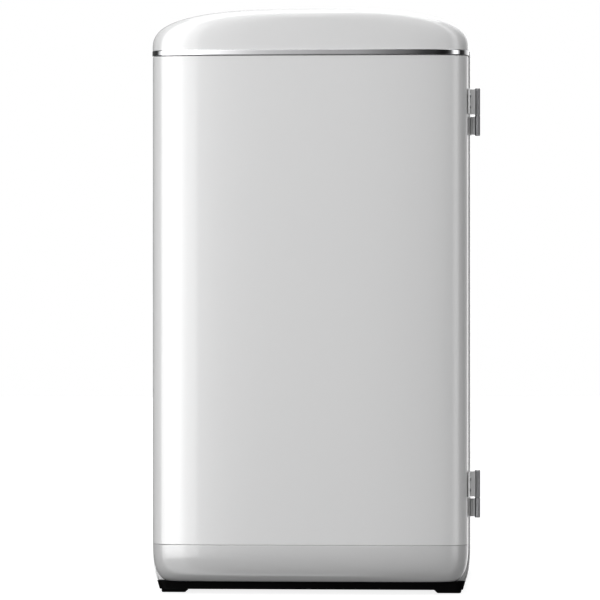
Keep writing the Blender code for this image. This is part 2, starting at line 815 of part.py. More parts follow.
def sprocket_outline(centre, teeth):
    """A chain wheel's outline."""
    pitch = chain_pitch_radius(teeth)
    return toothed_outline(centre, teeth, pitch - SPROCKET_ROOT, pitch, pitch + SPROCKET_TIP)


def build_screws():
    """Two lead screws on thrust bearings, each with a sprocket, held by the top beam."""
    low, high = SCREW_Y - BEAM_HALF_DEPTH, SCREW_Y + BEAM_HALF_DEPTH
    top_beam = add_piece(
        "screw_top_beam",
        box((-FRAME_HALF_WIDTH, low, TOP_BEAM_BOTTOM), (FRAME_HALF_WIDTH, high, TOP_BEAM_TOP)),
        "galvanised",
    )
    for side, axis in SCREW_AXES.items():
        bore = JOURNAL_RADIUS + RUNNING_GAP
        hole = prism_z(circle(axis, bore), TOP_BEAM_BOTTOM - SHEET, TOP_BEAM_TOP + SHEET)
        combine(top_beam, hole, "DIFFERENCE", f"{side}_journal_hole")
        screw = add_piece(
            f"{side}_lead_screw",
            turned_z(axis, [
                (JOURNAL_RADIUS - 0.001, SCREW_BOTTOM),
                (JOURNAL_RADIUS, SCREW_BOTTOM + 0.001),
                (JOURNAL_RADIUS, SCREW_THREAD_BOTTOM),
                (SCREW_RADIUS, SCREW_THREAD_BOTTOM),
                (SCREW_RADIUS, SCREW_THREAD_TOP),
                (JOURNAL_RADIUS, SCREW_THREAD_TOP),
                (JOURNAL_RADIUS, SCREW_TOP),
            ]),
            "machine_steel",
            axis,
        )
        shade_round(screw)
        bearing = tube_z(axis, [
            (BEARING_RADIUS, PAN_TOP + GAP),
            (BEARING_RADIUS, BEARING_TOP),
            (bore, BEARING_TOP),
            (bore, SCREW_BOTTOM - GAP),
            (BEARING_DRAIN_RADIUS, SCREW_BOTTOM - GAP),
            (BEARING_DRAIN_RADIUS, PAN_TOP + GAP),
        ])
        shade_round(add_piece(f"{side}_thrust_bearing", bearing, "machine_steel"))
        outline = sprocket_outline(axis, SCREW_SPROCKET_TEETH)
        sprocket = add_piece(
            f"{side}_sprocket", prism_z(outline, SPROCKET_BOTTOM, SPROCKET_TOP), "machine_steel", axis,
        )
        hole = prism_z(circle(axis, bore), SPROCKET_BOTTOM - SHEET, SPROCKET_TOP + SHEET)
        combine(sprocket, hole, "DIFFERENCE", f"{side}_sprocket_bore")


def build_ram():
    """The ram beam rides on two nuts; a square column carries the plate that presses."""
    low, high = SCREW_Y - BEAM_HALF_DEPTH, SCREW_Y + BEAM_HALF_DEPTH
    beam = add_piece(
        "ram_beam",
        box((-BEAM_HALF_LENGTH, low, BEAM_BOTTOM), (BEAM_HALF_LENGTH, high, BEAM_TOP)),
        "galvanised",
    )
    for side, axis in SCREW_AXES.items():
        hole = prism_z(circle(axis, NUT_RADIUS + GAP), BEAM_BOTTOM - SHEET, BEAM_TOP + SHEET)
        combine(beam, hole, "DIFFERENCE", f"{side}_nut_hole")
        bore = SCREW_RADIUS + RUNNING_GAP
        nut = tube_z(axis, [
            (bore, BEAM_BOTTOM - NUT_TAIL),
            (NUT_RADIUS, BEAM_BOTTOM - NUT_TAIL),
            (NUT_RADIUS, BEAM_TOP + GAP),
            (NUT_FLANGE_RADIUS, BEAM_TOP + GAP),
            (NUT_FLANGE_RADIUS, BEAM_TOP + NUT_FLANGE_THICKNESS),
            (bore, BEAM_TOP + NUT_FLANGE_THICKNESS),
        ])
        shade_round(add_piece(f"{side}_screw_nut", nut, "machine_steel"))
    outer, inner = [
        [
            (x, SCREW_Y + y)
            for x, y in rectangle(wall - COLUMN_HALF_WIDTH, wall - COLUMN_HALF_DEPTH,
                                  COLUMN_HALF_WIDTH - wall, COLUMN_HALF_DEPTH - wall)
        ]
        for wall in (0.0, COLUMN_WALL)
    ]
    foot, head = PLATE_TOP + GAP, BEAM_BOTTOM - GAP
    column = loft([
        at_height(outer, foot), at_height(outer, head), at_height(inner, head), at_height(inner, foot),
    ], closed=True)
    add_piece("ram_column", column, "galvanised")
    plate = loft([
        at_height(rounded_rectangle(
            -PLATE_HALF_WIDTH + inset, SCREW_Y - PLATE_HALF_DEPTH + inset,
            PLATE_HALF_WIDTH - inset, SCREW_Y + PLATE_HALF_DEPTH - inset, PLATE_CORNER - inset,
        ), z)
        for inset, z in (
            (PLATE_CHAMFER, PLATE_BOTTOM),
            (0.0, PLATE_BOTTOM + PLATE_CHAMFER),
            (0.0, PLATE_TOP),
        )
    ])
    add_piece("ram_plate", plate, "galvanised")


def build_drive():
    """Motor on the bed plate, its pinion, the reducing gear with the drive sprocket, and the chain."""
    outline = gear_outline(DRIVE_AXIS, GEAR_TEETH)
    gear = add_piece("drive_gear", prism_z(outline, GEAR_BOTTOM, GEAR_TOP), "machine_steel", DRIVE_AXIS)
    hub = turned_z(DRIVE_AXIS, [
        (SHAFT_RADIUS, PAN_TOP + GAP),
        (SHAFT_RADIUS, GEAR_BOTTOM - HUB_OVERHANG),
        (HUB_RADIUS, GEAR_BOTTOM - HUB_OVERHANG),
        (HUB_RADIUS, SPROCKET_BOTTOM + SHEET),
        (SHAFT_RADIUS, SPROCKET_BOTTOM + SHEET),
        (SHAFT_RADIUS, BED_BOTTOM - GAP),
    ])
    combine(gear, hub, "UNION", "gear_hub")
    wheel = prism_z(sprocket_outline(DRIVE_AXIS, DRIVE_SPROCKET_TEETH), SPROCKET_BOTTOM, SPROCKET_TOP)
    combine(gear, wheel, "UNION", "gear_sprocket")

    outline = gear_outline(MOTOR_AXIS, PINION_TEETH, phase=0.5)
    pinion = add_piece(
        "motor_pinion",
        prism_z(outline, GEAR_BOTTOM - PINION_OVERHANG, GEAR_TOP + PINION_OVERHANG),
        "machine_steel",
        MOTOR_AXIS,
    )
    shaft = turned_z(MOTOR_AXIS, [(SHAFT_RADIUS, GEAR_BOTTOM - HUB_OVERHANG), (SHAFT_RADIUS, BED_TOP)])
    combine(pinion, shaft, "UNION", "motor_shaft")

    motor = add_piece("motor", turned_z(MOTOR_AXIS, [
        (MOTOR_RADIUS, BED_TOP + GAP),
        (MOTOR_RADIUS, BED_TOP + MOTOR_FLANGE),
        (MOTOR_CAN_RADIUS, BED_TOP + MOTOR_FLANGE),
        (MOTOR_CAN_RADIUS, MOTOR_TOP - MOTOR_CHAMFER),
        (MOTOR_CAN_RADIUS - MOTOR_CHAMFER, MOTOR_TOP),
    ]), "motor_paint")
    shade_round(motor)

    clearance = SPROCKET_TIP + 3 * GAP
    wheels = [
        (SCREW_AXES["left"], chain_pitch_radius(SCREW_SPROCKET_TEETH) + clearance),
        (SCREW_AXES["right"], chain_pitch_radius(SCREW_SPROCKET_TEETH) + clearance),
        (DRIVE_AXIS, chain_pitch_radius(DRIVE_SPROCKET_TEETH) + clearance),
    ]
    inner = belt_outline(wheels)
    outer = belt_outline([(centre, radius + CHAIN_THICKNESS) for centre, radius in wheels])
    chain = loft([
        at_height(outer, CHAIN_BOTTOM), at_height(outer, CHAIN_TOP),
        at_height(inner, CHAIN_TOP), at_height(inner, CHAIN_BOTTOM),
    ], closed=True)
    add_piece("drive_chain", chain, "machine_steel")


def belt_outline(wheels, steps=10):
    """The taut loop round counter-clockwise wheels given as (centre, radius)."""
    count = len(wheels)
    leaving = []
    for i in range(count):
        (near, near_radius), (far, far_radius) = wheels[i], wheels[(i + 1) % count]
        span = far - near
        lean = acos((near_radius - far_radius) / hypot(span.x, span.y))
        leaving.append(atan2(span.y, span.x) - lean)
    points = []
    for i, (centre, radius) in enumerate(wheels):
        start = leaving[i - 1]
        turn = (leaving[i] - start) % (2 * pi)
        for step in range(steps + 1):
            angle = start + turn * step / steps
            points.append((centre.x + radius * cos(angle), centre.y + radius * sin(angle)))
    return points


# ---------------------------------------------------------------- bin, carriage and rails

def build_bin():
    """An open moulded bin with ears for its drop handle."""
    def ring(z, wall):
        inset = BIN_TAPER * (BIN_TOP - z) / (BIN_TOP - BIN_BOTTOM) + wall
        return at_height(rounded_rectangle(
            -BIN_HALF_WIDTH + inset, BIN_FRONT + inset, BIN_HALF_WIDTH - inset, BIN_REAR - inset,
            BIN_CORNER - wall,
        ), z)

    rim_bottom = BIN_TOP - BIN_RIM_HEIGHT
    rings = [
        ring(BIN_BOTTOM, BIN_WALL),
        ring(BIN_BOTTOM + BIN_WALL, 0.0),
        ring(rim_bottom, 0.0),
        ring(rim_bottom, -BIN_RIM),
        ring(BIN_TOP, -BIN_RIM),
        ring(BIN_TOP, BIN_WALL),
        ring(BIN_BOTTOM + BIN_WALL, BIN_WALL),
    ]
    trash_bin = add_piece("trash_bin", loft(rings), "grey_plastic")
    inner = HANDLE_HALF_WIDTH + EAR_CLEARANCE
    for side, sign in SIGN.items():
        low, high = sorted((sign * inner, sign * (inner + EAR_THICKNESS)))
        ear = box(
            (low, HANDLE_AXIS.y - EAR_REACH, HANDLE_AXIS.z - EAR_HALF_HEIGHT),
            (high, BIN_FRONT + SHEET, HANDLE_AXIS.z + EAR_HALF_HEIGHT),
        )
        combine(trash_bin, ear, "UNION", f"{side}_handle_ear")


def build_bin_handle():
    """A flat bail that hangs on the bin's front and lifts forward."""
    half, bar = HANDLE_HALF_WIDTH, HANDLE_BAR
    top, bottom = HANDLE_AXIS.z + HANDLE_RISE, HANDLE_AXIS.z - HANDLE_DROP
    outline = [
        (-half, top),
        (-half, bottom + HANDLE_CORNER),
        (-half + HANDLE_CORNER, bottom),
        (half - HANDLE_CORNER, bottom),
        (half, bottom + HANDLE_CORNER),
        (half, top),
        (half - bar, top),
        (half - bar, bottom + bar),
        (-half + bar, bottom + bar),
        (-half + bar, top),
    ]
    start = HANDLE_AXIS.y - HANDLE_THICKNESS / 2
    handle = add_piece(
        "bin_handle", prism_y(outline, start, start + HANDLE_THICKNESS), "black_plastic", HANDLE_AXIS,
    )
    bevel_edges(handle, 0.001, 1)


def build_carriage():
    """Two fixed rails, and the tray whose runners slide in them with the bin on top."""
    for side, sign in SIGN.items():
        x = sign * RAIL_X
        outer, inner = RAIL_HALF_WIDTH, RAIL_HALF_WIDTH - RAIL_WALL
        base = BED_TOP + GAP
        profile = [
            (x - outer, base),
            (x + outer, base),
            (x + outer, RAIL_TOP),
            (x + inner, RAIL_TOP),
            (x + inner, base + RAIL_WALL),
            (x - inner, base + RAIL_WALL),
            (x - inner, RAIL_TOP),
            (x - outer, RAIL_TOP),
        ]
        add_piece(f"{side}_slide_rail", prism_y(profile, RAIL_FRONT, RAIL_REAR), "machine_steel")
    half, edge = TRAY_HALF_WIDTH, TRAY_HALF_WIDTH - SHEET
    profile = [(half, TRAY_BOTTOM), (half, TRAY_EDGE_TOP), (edge, TRAY_EDGE_TOP), (edge, TRAY_TOP)]
    profile += [(-x, z) for x, z in reversed(profile)]
    for x in (-RAIL_X, RAIL_X):
        profile += [
            (x - RUNNER_HALF_WIDTH, TRAY_BOTTOM),
            (x - RUNNER_HALF_WIDTH, RUNNER_BOTTOM),
            (x + RUNNER_HALF_WIDTH, RUNNER_BOTTOM),
            (x + RUNNER_HALF_WIDTH, TRAY_BOTTOM),
        ]
    add_piece("bin_carriage", prism_y(profile, TRAY_FRONT, RAIL_REAR), "galvanised")


def build_bin_lock():
    """A short lever at the carriage's front corner that swings up to free the bin."""
    x, z = LOCK_AXIS.x, LOCK_AXIS.z
    steps = 8
    angles = [pi * i / steps for i in range(steps + 1)]
    eye = [(x - LOCK_EYE_RADIUS * sin(a), z - LOCK_EYE_RADIUS * cos(a)) for a in angles]
    outline = eye + [
        (x + LOCK_LENGTH - LOCK_TIP, z + LOCK_TIP),
        (x + LOCK_LENGTH, z),
        (x + LOCK_LENGTH, z - LOCK_TIP / 2),
        (x + LOCK_LENGTH - LOCK_TIP, z - LOCK_EYE_RADIUS),
    ]
    start = LOCK_AXIS.y - SHEET
    add_piece("bin_lock", prism_y(outline, start, start + 2 * SHEET), "black_plastic", LOCK_AXIS)


# ---------------------------------------------------------------- controls and service parts

def build_controls():
    """The control panel above the chamber's mouth, two push buttons and a key knob."""
    panel = add_piece(
        "control_panel",
        box(
            (-OPENING_HALF_WIDTH + GAP, PANEL_FRONT, PANEL_BOTTOM),
            (OPENING_HALF_WIDTH - GAP, PANEL_FRONT + PANEL_THICKNESS, OPENING_TOP - GAP),
        ),
        "black_plastic",
    )
    radii = {x: BUTTON_RADIUS for x in BUTTON_X.values()} | {KNOB_X: KNOB_RADIUS}
    for number, (x, radius) in enumerate(radii.items()):
        reach = (PANEL_FRONT - SHEET, PANEL_FRONT + PANEL_THICKNESS + SHEET)
        hole = turned_y(x, CONTROL_Z, [(radius + 2 * GAP, y) for y in reach])
        combine(panel, hole, "DIFFERENCE", f"control_hole_{number}")
    colours = {"start_button": "start_green", "stop_button": "stop_red"}
    for name, x in BUTTON_X.items():
        profile = [
            (BUTTON_RADIUS - BUTTON_EDGE, BUTTON_FRONT),
            (BUTTON_RADIUS, BUTTON_FRONT + BUTTON_EDGE),
            (BUTTON_RADIUS, BUTTON_BACK),
        ]
        pivot = Vector((x, BUTTON_FRONT, CONTROL_Z))
        shade_round(add_piece(name, turned_y(x, CONTROL_Z, profile), colours[name], pivot))
    pivot = Vector((KNOB_X, BUTTON_FRONT, CONTROL_Z))
    face = BUTTON_FRONT + 2 * GAP
    profile = [
        (KNOB_RADIUS - BUTTON_EDGE, face),
        (KNOB_RADIUS, face + BUTTON_EDGE),
        (KNOB_RADIUS, BUTTON_BACK),
    ]
    knob = add_piece("key_switch", turned_y(KNOB_X, CONTROL_Z, profile), "machine_steel", pivot)
    keyhole = box(
        (KNOB_X - KEYHOLE_HALF_WIDTH, BUTTON_FRONT - SHEET, CONTROL_Z - KEYHOLE_HALF_HEIGHT),
        (KNOB_X + KEYHOLE_HALF_WIDTH, BUTTON_FRONT + KEYHOLE_DEPTH, CONTROL_Z + KEYHOLE_HALF_HEIGHT),
    )
    combine(knob, keyhole, "DIFFERENCE", "key_slot")


def build_service_parts():
    """Door switch, control board, odour filter and power inlet."""
    behind_frame = FRAME_BACK + GAP
    add_piece(
        "door_switch",
        block(SWITCH_X, (behind_frame, behind_frame + SWITCH_DEPTH), SWITCH_Z),
        "black_plastic",
    )
    behind_wall = CHAMBER_REAR + SHEET + GAP
    add_piece(
        "control_board",
        block(BOARD_X, (behind_wall, behind_wall + BOARD_DEPTH), BOARD_Z),
        "grey_plastic",
    )
    add_piece(
        "odour_filter",
        block(FILTER_X, (CHAMBER_REAR - FILTER_DEPTH, CHAMBER_REAR), FILTER_Z),
        "black_plastic",
    )
    middle_x = (INLET_LEFT + INLET_RIGHT) / 2
    middle_z = (INLET_BOTTOM + INLET_TOP) / 2
    body_x = (INLET_RIGHT - INLET_LEFT) / 2 - GAP
    body_z = (INLET_TOP - INLET_BOTTOM) / 2 - GAP
    outside = CABINET_REAR + GAP + SHEET + GAP
    flange = INLET_FLANGE
    inlet = add_piece(
        "power_inlet",
        box(
            (middle_x - body_x, outside - INLET_DEPTH, middle_z - body_z),
            (middle_x + body_x, outside + SHEET, middle_z + body_z),
        ),
        "black_plastic",
    )
    rim = box(
        (middle_x - body_x - flange, outside, middle_z - body_z - flange),
        (middle_x + body_x + flange, outside + SHEET, middle_z + body_z + flange),
    )
    combine(inlet, rim, "UNION", "inlet_flange")
    socket = box(
        (middle_x - body_x + flange, outside - INLET_SOCKET_DEPTH, middle_z - body_z + flange),
        (middle_x + body_x - flange, outside + 2 * SHEET, middle_z + body_z - flange),
    )
    combine(inlet, socket, "DIFFERENCE", "inlet_socket")


clear_scene()
FINISHES = make_finishes()
CABINET = bpy.data.objects.new("cabinet", None)
bpy.context.collection.objects.link(CABINET)
CABINET.location = (CABINET_SHIFT, 0.0, 0.0)
build_side_panels()
build_rear_cover()
build_top_cap()
build_trim_band()
build_lower_front_panel()
build_base()
build_door_frame()
build_chamber()
build_door_skin()
build_door_inside()
build_hinges()
build_screws()
build_ram()
build_drive()
build_carriage()
build_bin()
build_bin_handle()
build_bin_lock()
build_controls()
build_service_parts()
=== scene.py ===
"""Looks for the trash compactor: enamelled shell, chrome trim, hinges, press, bin and a pale studio."""

import json
from math import acos, atan2, cos, pi, radians, sin, sqrt

import bmesh
import bpy
from mathutils import Matrix, Vector


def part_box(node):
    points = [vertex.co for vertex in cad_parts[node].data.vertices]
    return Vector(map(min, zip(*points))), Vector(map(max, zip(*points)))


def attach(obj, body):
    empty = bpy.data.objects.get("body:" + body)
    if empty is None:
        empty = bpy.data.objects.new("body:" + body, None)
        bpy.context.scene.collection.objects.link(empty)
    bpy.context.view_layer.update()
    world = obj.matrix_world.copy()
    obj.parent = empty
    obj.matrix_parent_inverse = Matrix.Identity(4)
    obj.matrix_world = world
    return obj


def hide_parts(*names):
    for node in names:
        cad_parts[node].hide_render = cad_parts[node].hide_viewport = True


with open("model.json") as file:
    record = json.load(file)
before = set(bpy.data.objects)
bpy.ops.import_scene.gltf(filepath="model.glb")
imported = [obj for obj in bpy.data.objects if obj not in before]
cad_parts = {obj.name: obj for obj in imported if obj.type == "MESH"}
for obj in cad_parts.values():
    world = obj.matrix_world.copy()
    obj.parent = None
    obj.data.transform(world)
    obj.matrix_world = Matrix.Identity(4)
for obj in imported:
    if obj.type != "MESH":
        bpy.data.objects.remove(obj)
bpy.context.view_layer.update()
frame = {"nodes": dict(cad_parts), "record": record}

MM = 0.001
SIDES = {"left": -1.0, "right": 1.0}
RIB_FACETS = 8


# ---------------------------------------------------------------- material helpers

class Nodes:
    """Short calls for building one material's node tree."""

    def __init__(self, name):
        self.material = bpy.data.materials.new(name)
        self.material.use_nodes = True
        self.tree = self.material.node_tree
        self.shader = self.tree.nodes["Principled BSDF"]
        self.position = self.add("ShaderNodeTexCoord").outputs["Object"]

    def add(self, kind, **settings):
        """A node with plain values on its properties."""
        node = self.tree.nodes.new(kind)
        for key, value in settings.items():
            setattr(node, key, value)
        return node

    def link(self, source, target):
        self.tree.links.new(source, target)

    def set(self, **values):
        """Constants on the shader's own sockets; underscores stand for spaces."""
        for key, value in values.items():
            socket = self.shader.inputs[key.replace("_", " ")]
            socket.default_value = (*value, 1.0) if isinstance(value, tuple) else value

    def stretched(self, scale):
        """Object coordinates scaled unevenly, for grain that runs one way."""
        mapping = self.add("ShaderNodeMapping")
        mapping.inputs["Scale"].default_value = scale
        self.link(self.position, mapping.inputs["Vector"])
        return mapping.outputs["Vector"]

    def noise(self, scale, detail=3.0, roughness=0.5, vector=None):
        """A noise texture's factor."""
        node = self.add("ShaderNodeTexNoise")
        node.inputs["Scale"].default_value = scale
        node.inputs["Detail"].default_value = detail
        node.inputs["Roughness"].default_value = roughness
        self.link(vector or self.position, node.inputs["Vector"])
        return node.outputs["Fac"]

    def cells(self, scale, feature="F1"):
        """A Voronoi texture's outputs."""
        node = self.add("ShaderNodeTexVoronoi", feature=feature)
        node.inputs["Scale"].default_value = scale
        self.link(self.position, node.inputs["Vector"])
        return node.outputs

    def spread(self, factor, low, high, start=0.3, end=0.7):
        """Map a factor from start..end on to low..high."""
        node = self.add("ShaderNodeMapRange")
        for key, value in {"From Min": start, "From Max": end, "To Min": low, "To Max": high}.items():
            node.inputs[key].default_value = value
        self.link(factor, node.inputs["Value"])
        return node.outputs["Result"]

    def mix(self, factor, low, high):
        """Blend two colours by a factor."""
        node = self.add("ShaderNodeMix", data_type="RGBA")
        self.link(factor, node.inputs["Factor"])
        node.inputs["A"].default_value = (*low, 1.0)
        node.inputs["B"].default_value = (*high, 1.0)
        return node.outputs["Result"]

    def colour(self, source):
        self.link(source, self.shader.inputs["Base Color"])

    def roughness(self, source):
        self.link(source, self.shader.inputs["Roughness"])

    def bump(self, height, strength, distance=0.001):
        """Relief; a second call adds to the first."""
        node = self.add("ShaderNodeBump")
        node.inputs["Strength"].default_value = strength
        node.inputs["Distance"].default_value = distance
        self.link(height, node.inputs["Height"])
        normal = self.shader.inputs["Normal"]
        if normal.links:
            self.link(normal.links[0].from_socket, node.inputs["Normal"])
        self.link(node.outputs["Normal"], normal)

    def edge_wear(self, low, high, distance=0.0015):
        """A factor that is 1 on flats and falls to 0 at sharp edges."""
        bevel = self.add("ShaderNodeBevel", samples=4)
        bevel.inputs["Radius"].default_value = distance
        geometry = self.add("ShaderNodeNewGeometry")
        dot = self.add("ShaderNodeVectorMath", operation="DOT_PRODUCT")
        self.link(bevel.outputs["Normal"], dot.inputs[0])
        self.link(geometry.outputs["Normal"], dot.inputs[1])
        return self.spread(dot.outputs["Value"], 0.0, 1.0, low, high)


def enamel(name, tone, roughness, peel):
    """Glossy baked enamel: faint tone drift, polish variation and orange peel."""
    n = Nodes(name)
    n.set(IOR=1.52, Coat_Weight=0.35, Coat_Roughness=0.035)
    drift = n.noise(5.0, 4.0)
    n.colour(n.mix(drift, tuple(tone * k for k in (0.985, 0.987, 0.99)), (tone, tone, tone)))
    n.roughness(n.spread(n.noise(14.0, 5.0), roughness * 0.8, roughness * 1.25))
    n.bump(n.noise(210.0, 2.0), peel, 0.0004)
    return n.material


def chrome():
    """Bright plated trim with faint wiping marks."""
    n = Nodes("trim_chrome")
    n.set(Metallic=1.0)
    n.colour(n.mix(n.noise(20.0), (0.60, 0.60, 0.61), (0.68, 0.68, 0.69)))
    wiping = n.noise(60.0, 6.0, 0.6, n.stretched((1.0, 1.0, 14.0)))
    n.roughness(n.spread(wiping, 0.025, 0.05))
    n.bump(wiping, 0.008, 0.0002)
    return n.material


def brushed(name, low, high, roughness, grain):
    """Metal with a one-way grain; grain is the stretch of the noise along each axis."""
    n = Nodes(name)
    n.set(Metallic=1.0)
    lines = n.noise(90.0, 5.0, 0.65, n.stretched(grain))
    blotch = n.noise(12.0, 3.0)
    worn = n.edge_wear(0.80, 0.99)
    n.colour(n.mix(lines, low, high))
    mixed = n.add("ShaderNodeMath", operation="MULTIPLY_ADD")
    n.link(blotch, mixed.inputs[0])
    mixed.inputs[1].default_value = 0.14
    n.link(n.spread(worn, roughness * 0.55, roughness, 0.0, 1.0), mixed.inputs[2])
    n.roughness(mixed.outputs["Value"])
    n.bump(lines, 0.12, 0.0003)
    return n.material


def galvanised():
    """Zinc sheet with its crystal spangle."""
    n = Nodes("galvanised")
    n.set(Metallic=0.95)
    spangle = n.add("ShaderNodeSeparateColor")
    n.link(n.cells(150.0)["Color"], spangle.inputs["Color"])
    n.colour(n.mix(spangle.outputs["Red"], (0.47, 0.48, 0.50), (0.54, 0.55, 0.57)))
    n.roughness(n.spread(spangle.outputs["Green"], 0.36, 0.50, 0.0, 1.0))
    n.bump(spangle.outputs["Blue"], 0.05, 0.0003)
    return n.material


def moulded(name, low, high, roughness, grain=900.0, relief=0.12, sheen=0.5):
    """Moulded plastic or rubber with a fine spark-eroded grain."""
    n = Nodes(name)
    n.set(IOR=1.48, Specular_IOR_Level=sheen)
    patch = n.noise(9.0, 4.0)
    worn = n.edge_wear(0.75, 0.99)
    base = n.mix(patch, low, high)
    shade = n.add("ShaderNodeMix", data_type="RGBA")
    n.link(worn, shade.inputs["Factor"])
    shade.inputs["A"].default_value = (*(min(1.0, c * 1.5 + 0.01) for c in high), 1.0)
    n.link(base, shade.inputs["B"])
    n.colour(shade.outputs["Result"])
    n.roughness(n.spread(n.noise(30.0, 4.0), roughness * 0.85, min(1.0, roughness * 1.15)))
    n.bump(n.noise(grain, 2.0), relief, 0.0003)
    return n.material


def glossy_plastic(name, low, high, roughness):
    """Shiny moulded caps and liners."""
    n = Nodes(name)
    n.set(IOR=1.5, Coat_Weight=0.2)
    n.colour(n.mix(n.noise(16.0, 3.0), low, high))
    n.roughness(n.spread(n.noise(24.0, 5.0), roughness * 0.8, roughness * 1.2))
    n.bump(n.noise(320.0, 2.0), 0.05, 0.0003)
    return n.material


def make_materials():
    """Every finish, by the record's slot name."""
    return {
        "white_enamel": enamel("white_enamel", 0.82, 0.10, 0.018),
        "white_liner": glossy_plastic("white_liner", (0.785, 0.785, 0.775), (0.80, 0.80, 0.79), 0.28),
        # A darker copy of the white enamel for the lower front panel: painted shade on the band that curves
        # under.
        "shaded_kick_enamel": enamel("shaded_kick_enamel", 0.68, 0.10, 0.018),
        "trim_chrome": chrome(),
        "hinge_steel": brushed("hinge_steel", (0.24, 0.24, 0.25), (0.36, 0.36, 0.37), 0.34, (1.0, 1.0, 0.06)),
        "black_paint": moulded(
            "black_paint", (0.010, 0.010, 0.011), (0.018, 0.018, 0.019), 0.38, 500.0, 0.10),
        "black_plastic": moulded(
            "black_plastic", (0.006, 0.006, 0.006), (0.010, 0.010, 0.011), 0.50, sheen=0.2),
        "grey_plastic": moulded("grey_plastic", (0.20, 0.21, 0.22), (0.25, 0.26, 0.27), 0.50),
        "magnet_grey": moulded("magnet_grey", (0.09, 0.09, 0.10), (0.13, 0.13, 0.13), 0.55),
        "galvanised": galvanised(),
        "machine_steel": brushed(
            "machine_steel", (0.30, 0.31, 0.32), (0.48, 0.49, 0.50), 0.32, (0.25, 0.25, 1.0)),
        # A near-black copy of the black finishes for the base and feet: its darker colour is painted shade
        # under the cabinet, with a lower sheen.
        "shaded_black_base": moulded("shaded_black_base", (0.001, 0.001, 0.001), (0.002, 0.002, 0.002), 0.55, sheen=0.02),
        "black_rubber": moulded(
            "black_rubber", (0.018, 0.018, 0.018), (0.032, 0.032, 0.032), 0.72, 700.0, 0.2),
        "gasket_grey": moulded("gasket_grey", (0.33, 0.33, 0.34), (0.40, 0.40, 0.41), 0.62, 1100.0, 0.08),
        "start_green": glossy_plastic("start_green", (0.015, 0.22, 0.05), (0.025, 0.28, 0.07), 0.25),
        "stop_red": glossy_plastic("stop_red", (0.42, 0.015, 0.010), (0.52, 0.022, 0.015), 0.25),
        "motor_paint": moulded(
            "motor_paint", (0.030, 0.034, 0.040), (0.045, 0.050, 0.058), 0.42, 420.0, 0.15),
    }


MATERIALS = make_materials()
SLOT_OF = {entry["node"]: entry["material_slot"] for entry in frame["record"]["subparts"]}


def dress_cad_nodes():
    """Give every CAD node its finish; the floor-level black parts get a near-black, low-sheen copy, its
    darker colour painted shade under the cabinet.
    """
    low_parts = {"base_pan", "front_left_foot", "front_right_foot", "rear_left_foot", "rear_right_foot"}
    for name, node in frame["nodes"].items():
        finish = "shaded_black_base" if name in low_parts else SLOT_OF[name]
        node.data.materials.clear()
        node.data.materials.append(MATERIALS[finish])


# ---------------------------------------------------------------- mesh helpers

def skin(rings, closed=False, capped=True):
    """Faces between equal rings in turn, with flat ends, or the last ring joined to the first."""
    shape = bmesh.new()
    loops = [[shape.verts.new(point) for point in ring] for ring in rings]
    pairs = list(zip(loops, loops[1:]))
    if closed:
        pairs.append((loops[-1], loops[0]))
    elif capped:
        shape.faces.new(loops[0])
        shape.faces.new(loops[-1])
    count = len(loops[0])
    for near, far in pairs:
        for i in range(count):
            j = (i + 1) % count
            shape.faces.new((near[i], near[j], far[j], far[i]))
    return shape


def finish_mesh(shape, name, sharp=40.0):
    """Close off a bmesh: outward normals, smooth shading, creases above the angle in degrees."""
    bmesh.ops.remove_doubles(shape, verts=shape.verts, dist=1e-6)
    bmesh.ops.recalc_face_normals(shape, faces=shape.faces)
    mesh = bpy.data.meshes.new(name)
    shape.to_mesh(mesh)
    shape.free()
    mesh.shade_smooth()
    mesh.set_sharp_from_angle(angle=radians(sharp))
    return mesh


def show(name, shape, slot, body, stands_for=(), sharp=40.0, bevel=0.0, finish=None):
    """Add a visible piece that rides on a body and may stand for CAD nodes."""
    piece = bpy.data.objects.new(name, finish_mesh(shape, name, sharp))
    bpy.context.scene.collection.objects.link(piece)
    piece.data.materials.append(MATERIALS[finish or slot])
    if bevel:
        modifier = piece.modifiers.new("edge_break", "BEVEL")
        modifier.width = bevel
        modifier.segments = 2
        modifier.limit_method = "ANGLE"
        modifier.angle_limit = radians(sharp)
        modifier.harden_normals = True
    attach(piece, body)
    if stands_for:
        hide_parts(*stands_for)
    return piece


def extent(node):
    """A CAD node's middle and half sizes."""
    low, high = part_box(node)
    return (low + high) / 2, (high - low) / 2


def measures(node):
    """A CAD node's lowest and highest corners, its middle and its half sizes."""
    return (*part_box(node), *extent(node))


def signed_power(value, exponent):
    """A power that keeps the sign of its base."""
    return abs(value) ** exponent * (1.0 if value >= 0.0 else -1.0)


def spaced(start, end, count):
    """Evenly spaced values, both ends included."""
    return [start + (end - start) * i / (count - 1) for i in range(count)]


def quarter(radius, steps):
    """Inset and height of points round a quarter circle, from its inset end to its flush end."""
    return [
        (radius * (1.0 - sin(pi / 2 * i / steps)), radius * (1.0 - cos(pi / 2 * i / steps)))
        for i in range(steps + 1)
    ]


def in_space(u, v, place, along):
    """A point from two coordinates across an axis and its place along it."""
    return {"z": (u, v, place), "y": (u, place, v), "x": (place, u, v)}[along]


def prism(outline, ends, along="z"):
    """A straight solid: an outline drawn across an axis, between two places on it."""
    return skin([[in_space(u, v, place, along) for u, v in outline] for place in ends])


def faded_rib(start, end, shoulder, half_width, rise, point):
    """A half-round rib with ends that run out; point takes a station, an offset across and a rise."""
    shares = (0.02, shoulder, 1.0, 1.0, 1.0, 1.0, 1.0, shoulder, 0.02)
    return skin([
        [
            point(station, half_width * cos(pi * i / RIB_FACETS), rise * share * sin(pi * i / RIB_FACETS))
            for i in range(RIB_FACETS + 1)
        ]
        for station, share in zip(spaced(start, end, len(shares)), shares)
    ])


def bolt_square(middle, reach, z):
    """Four places at the corners of a square round an upright axis."""
    angles = [pi / 4 + pi / 2 * i for i in range(BOLT_COUNT)]
    return [Vector((middle.x + reach * cos(a), middle.y + reach * sin(a), z)) for a in angles]


# ---------------------------------------------------------------- outer shell

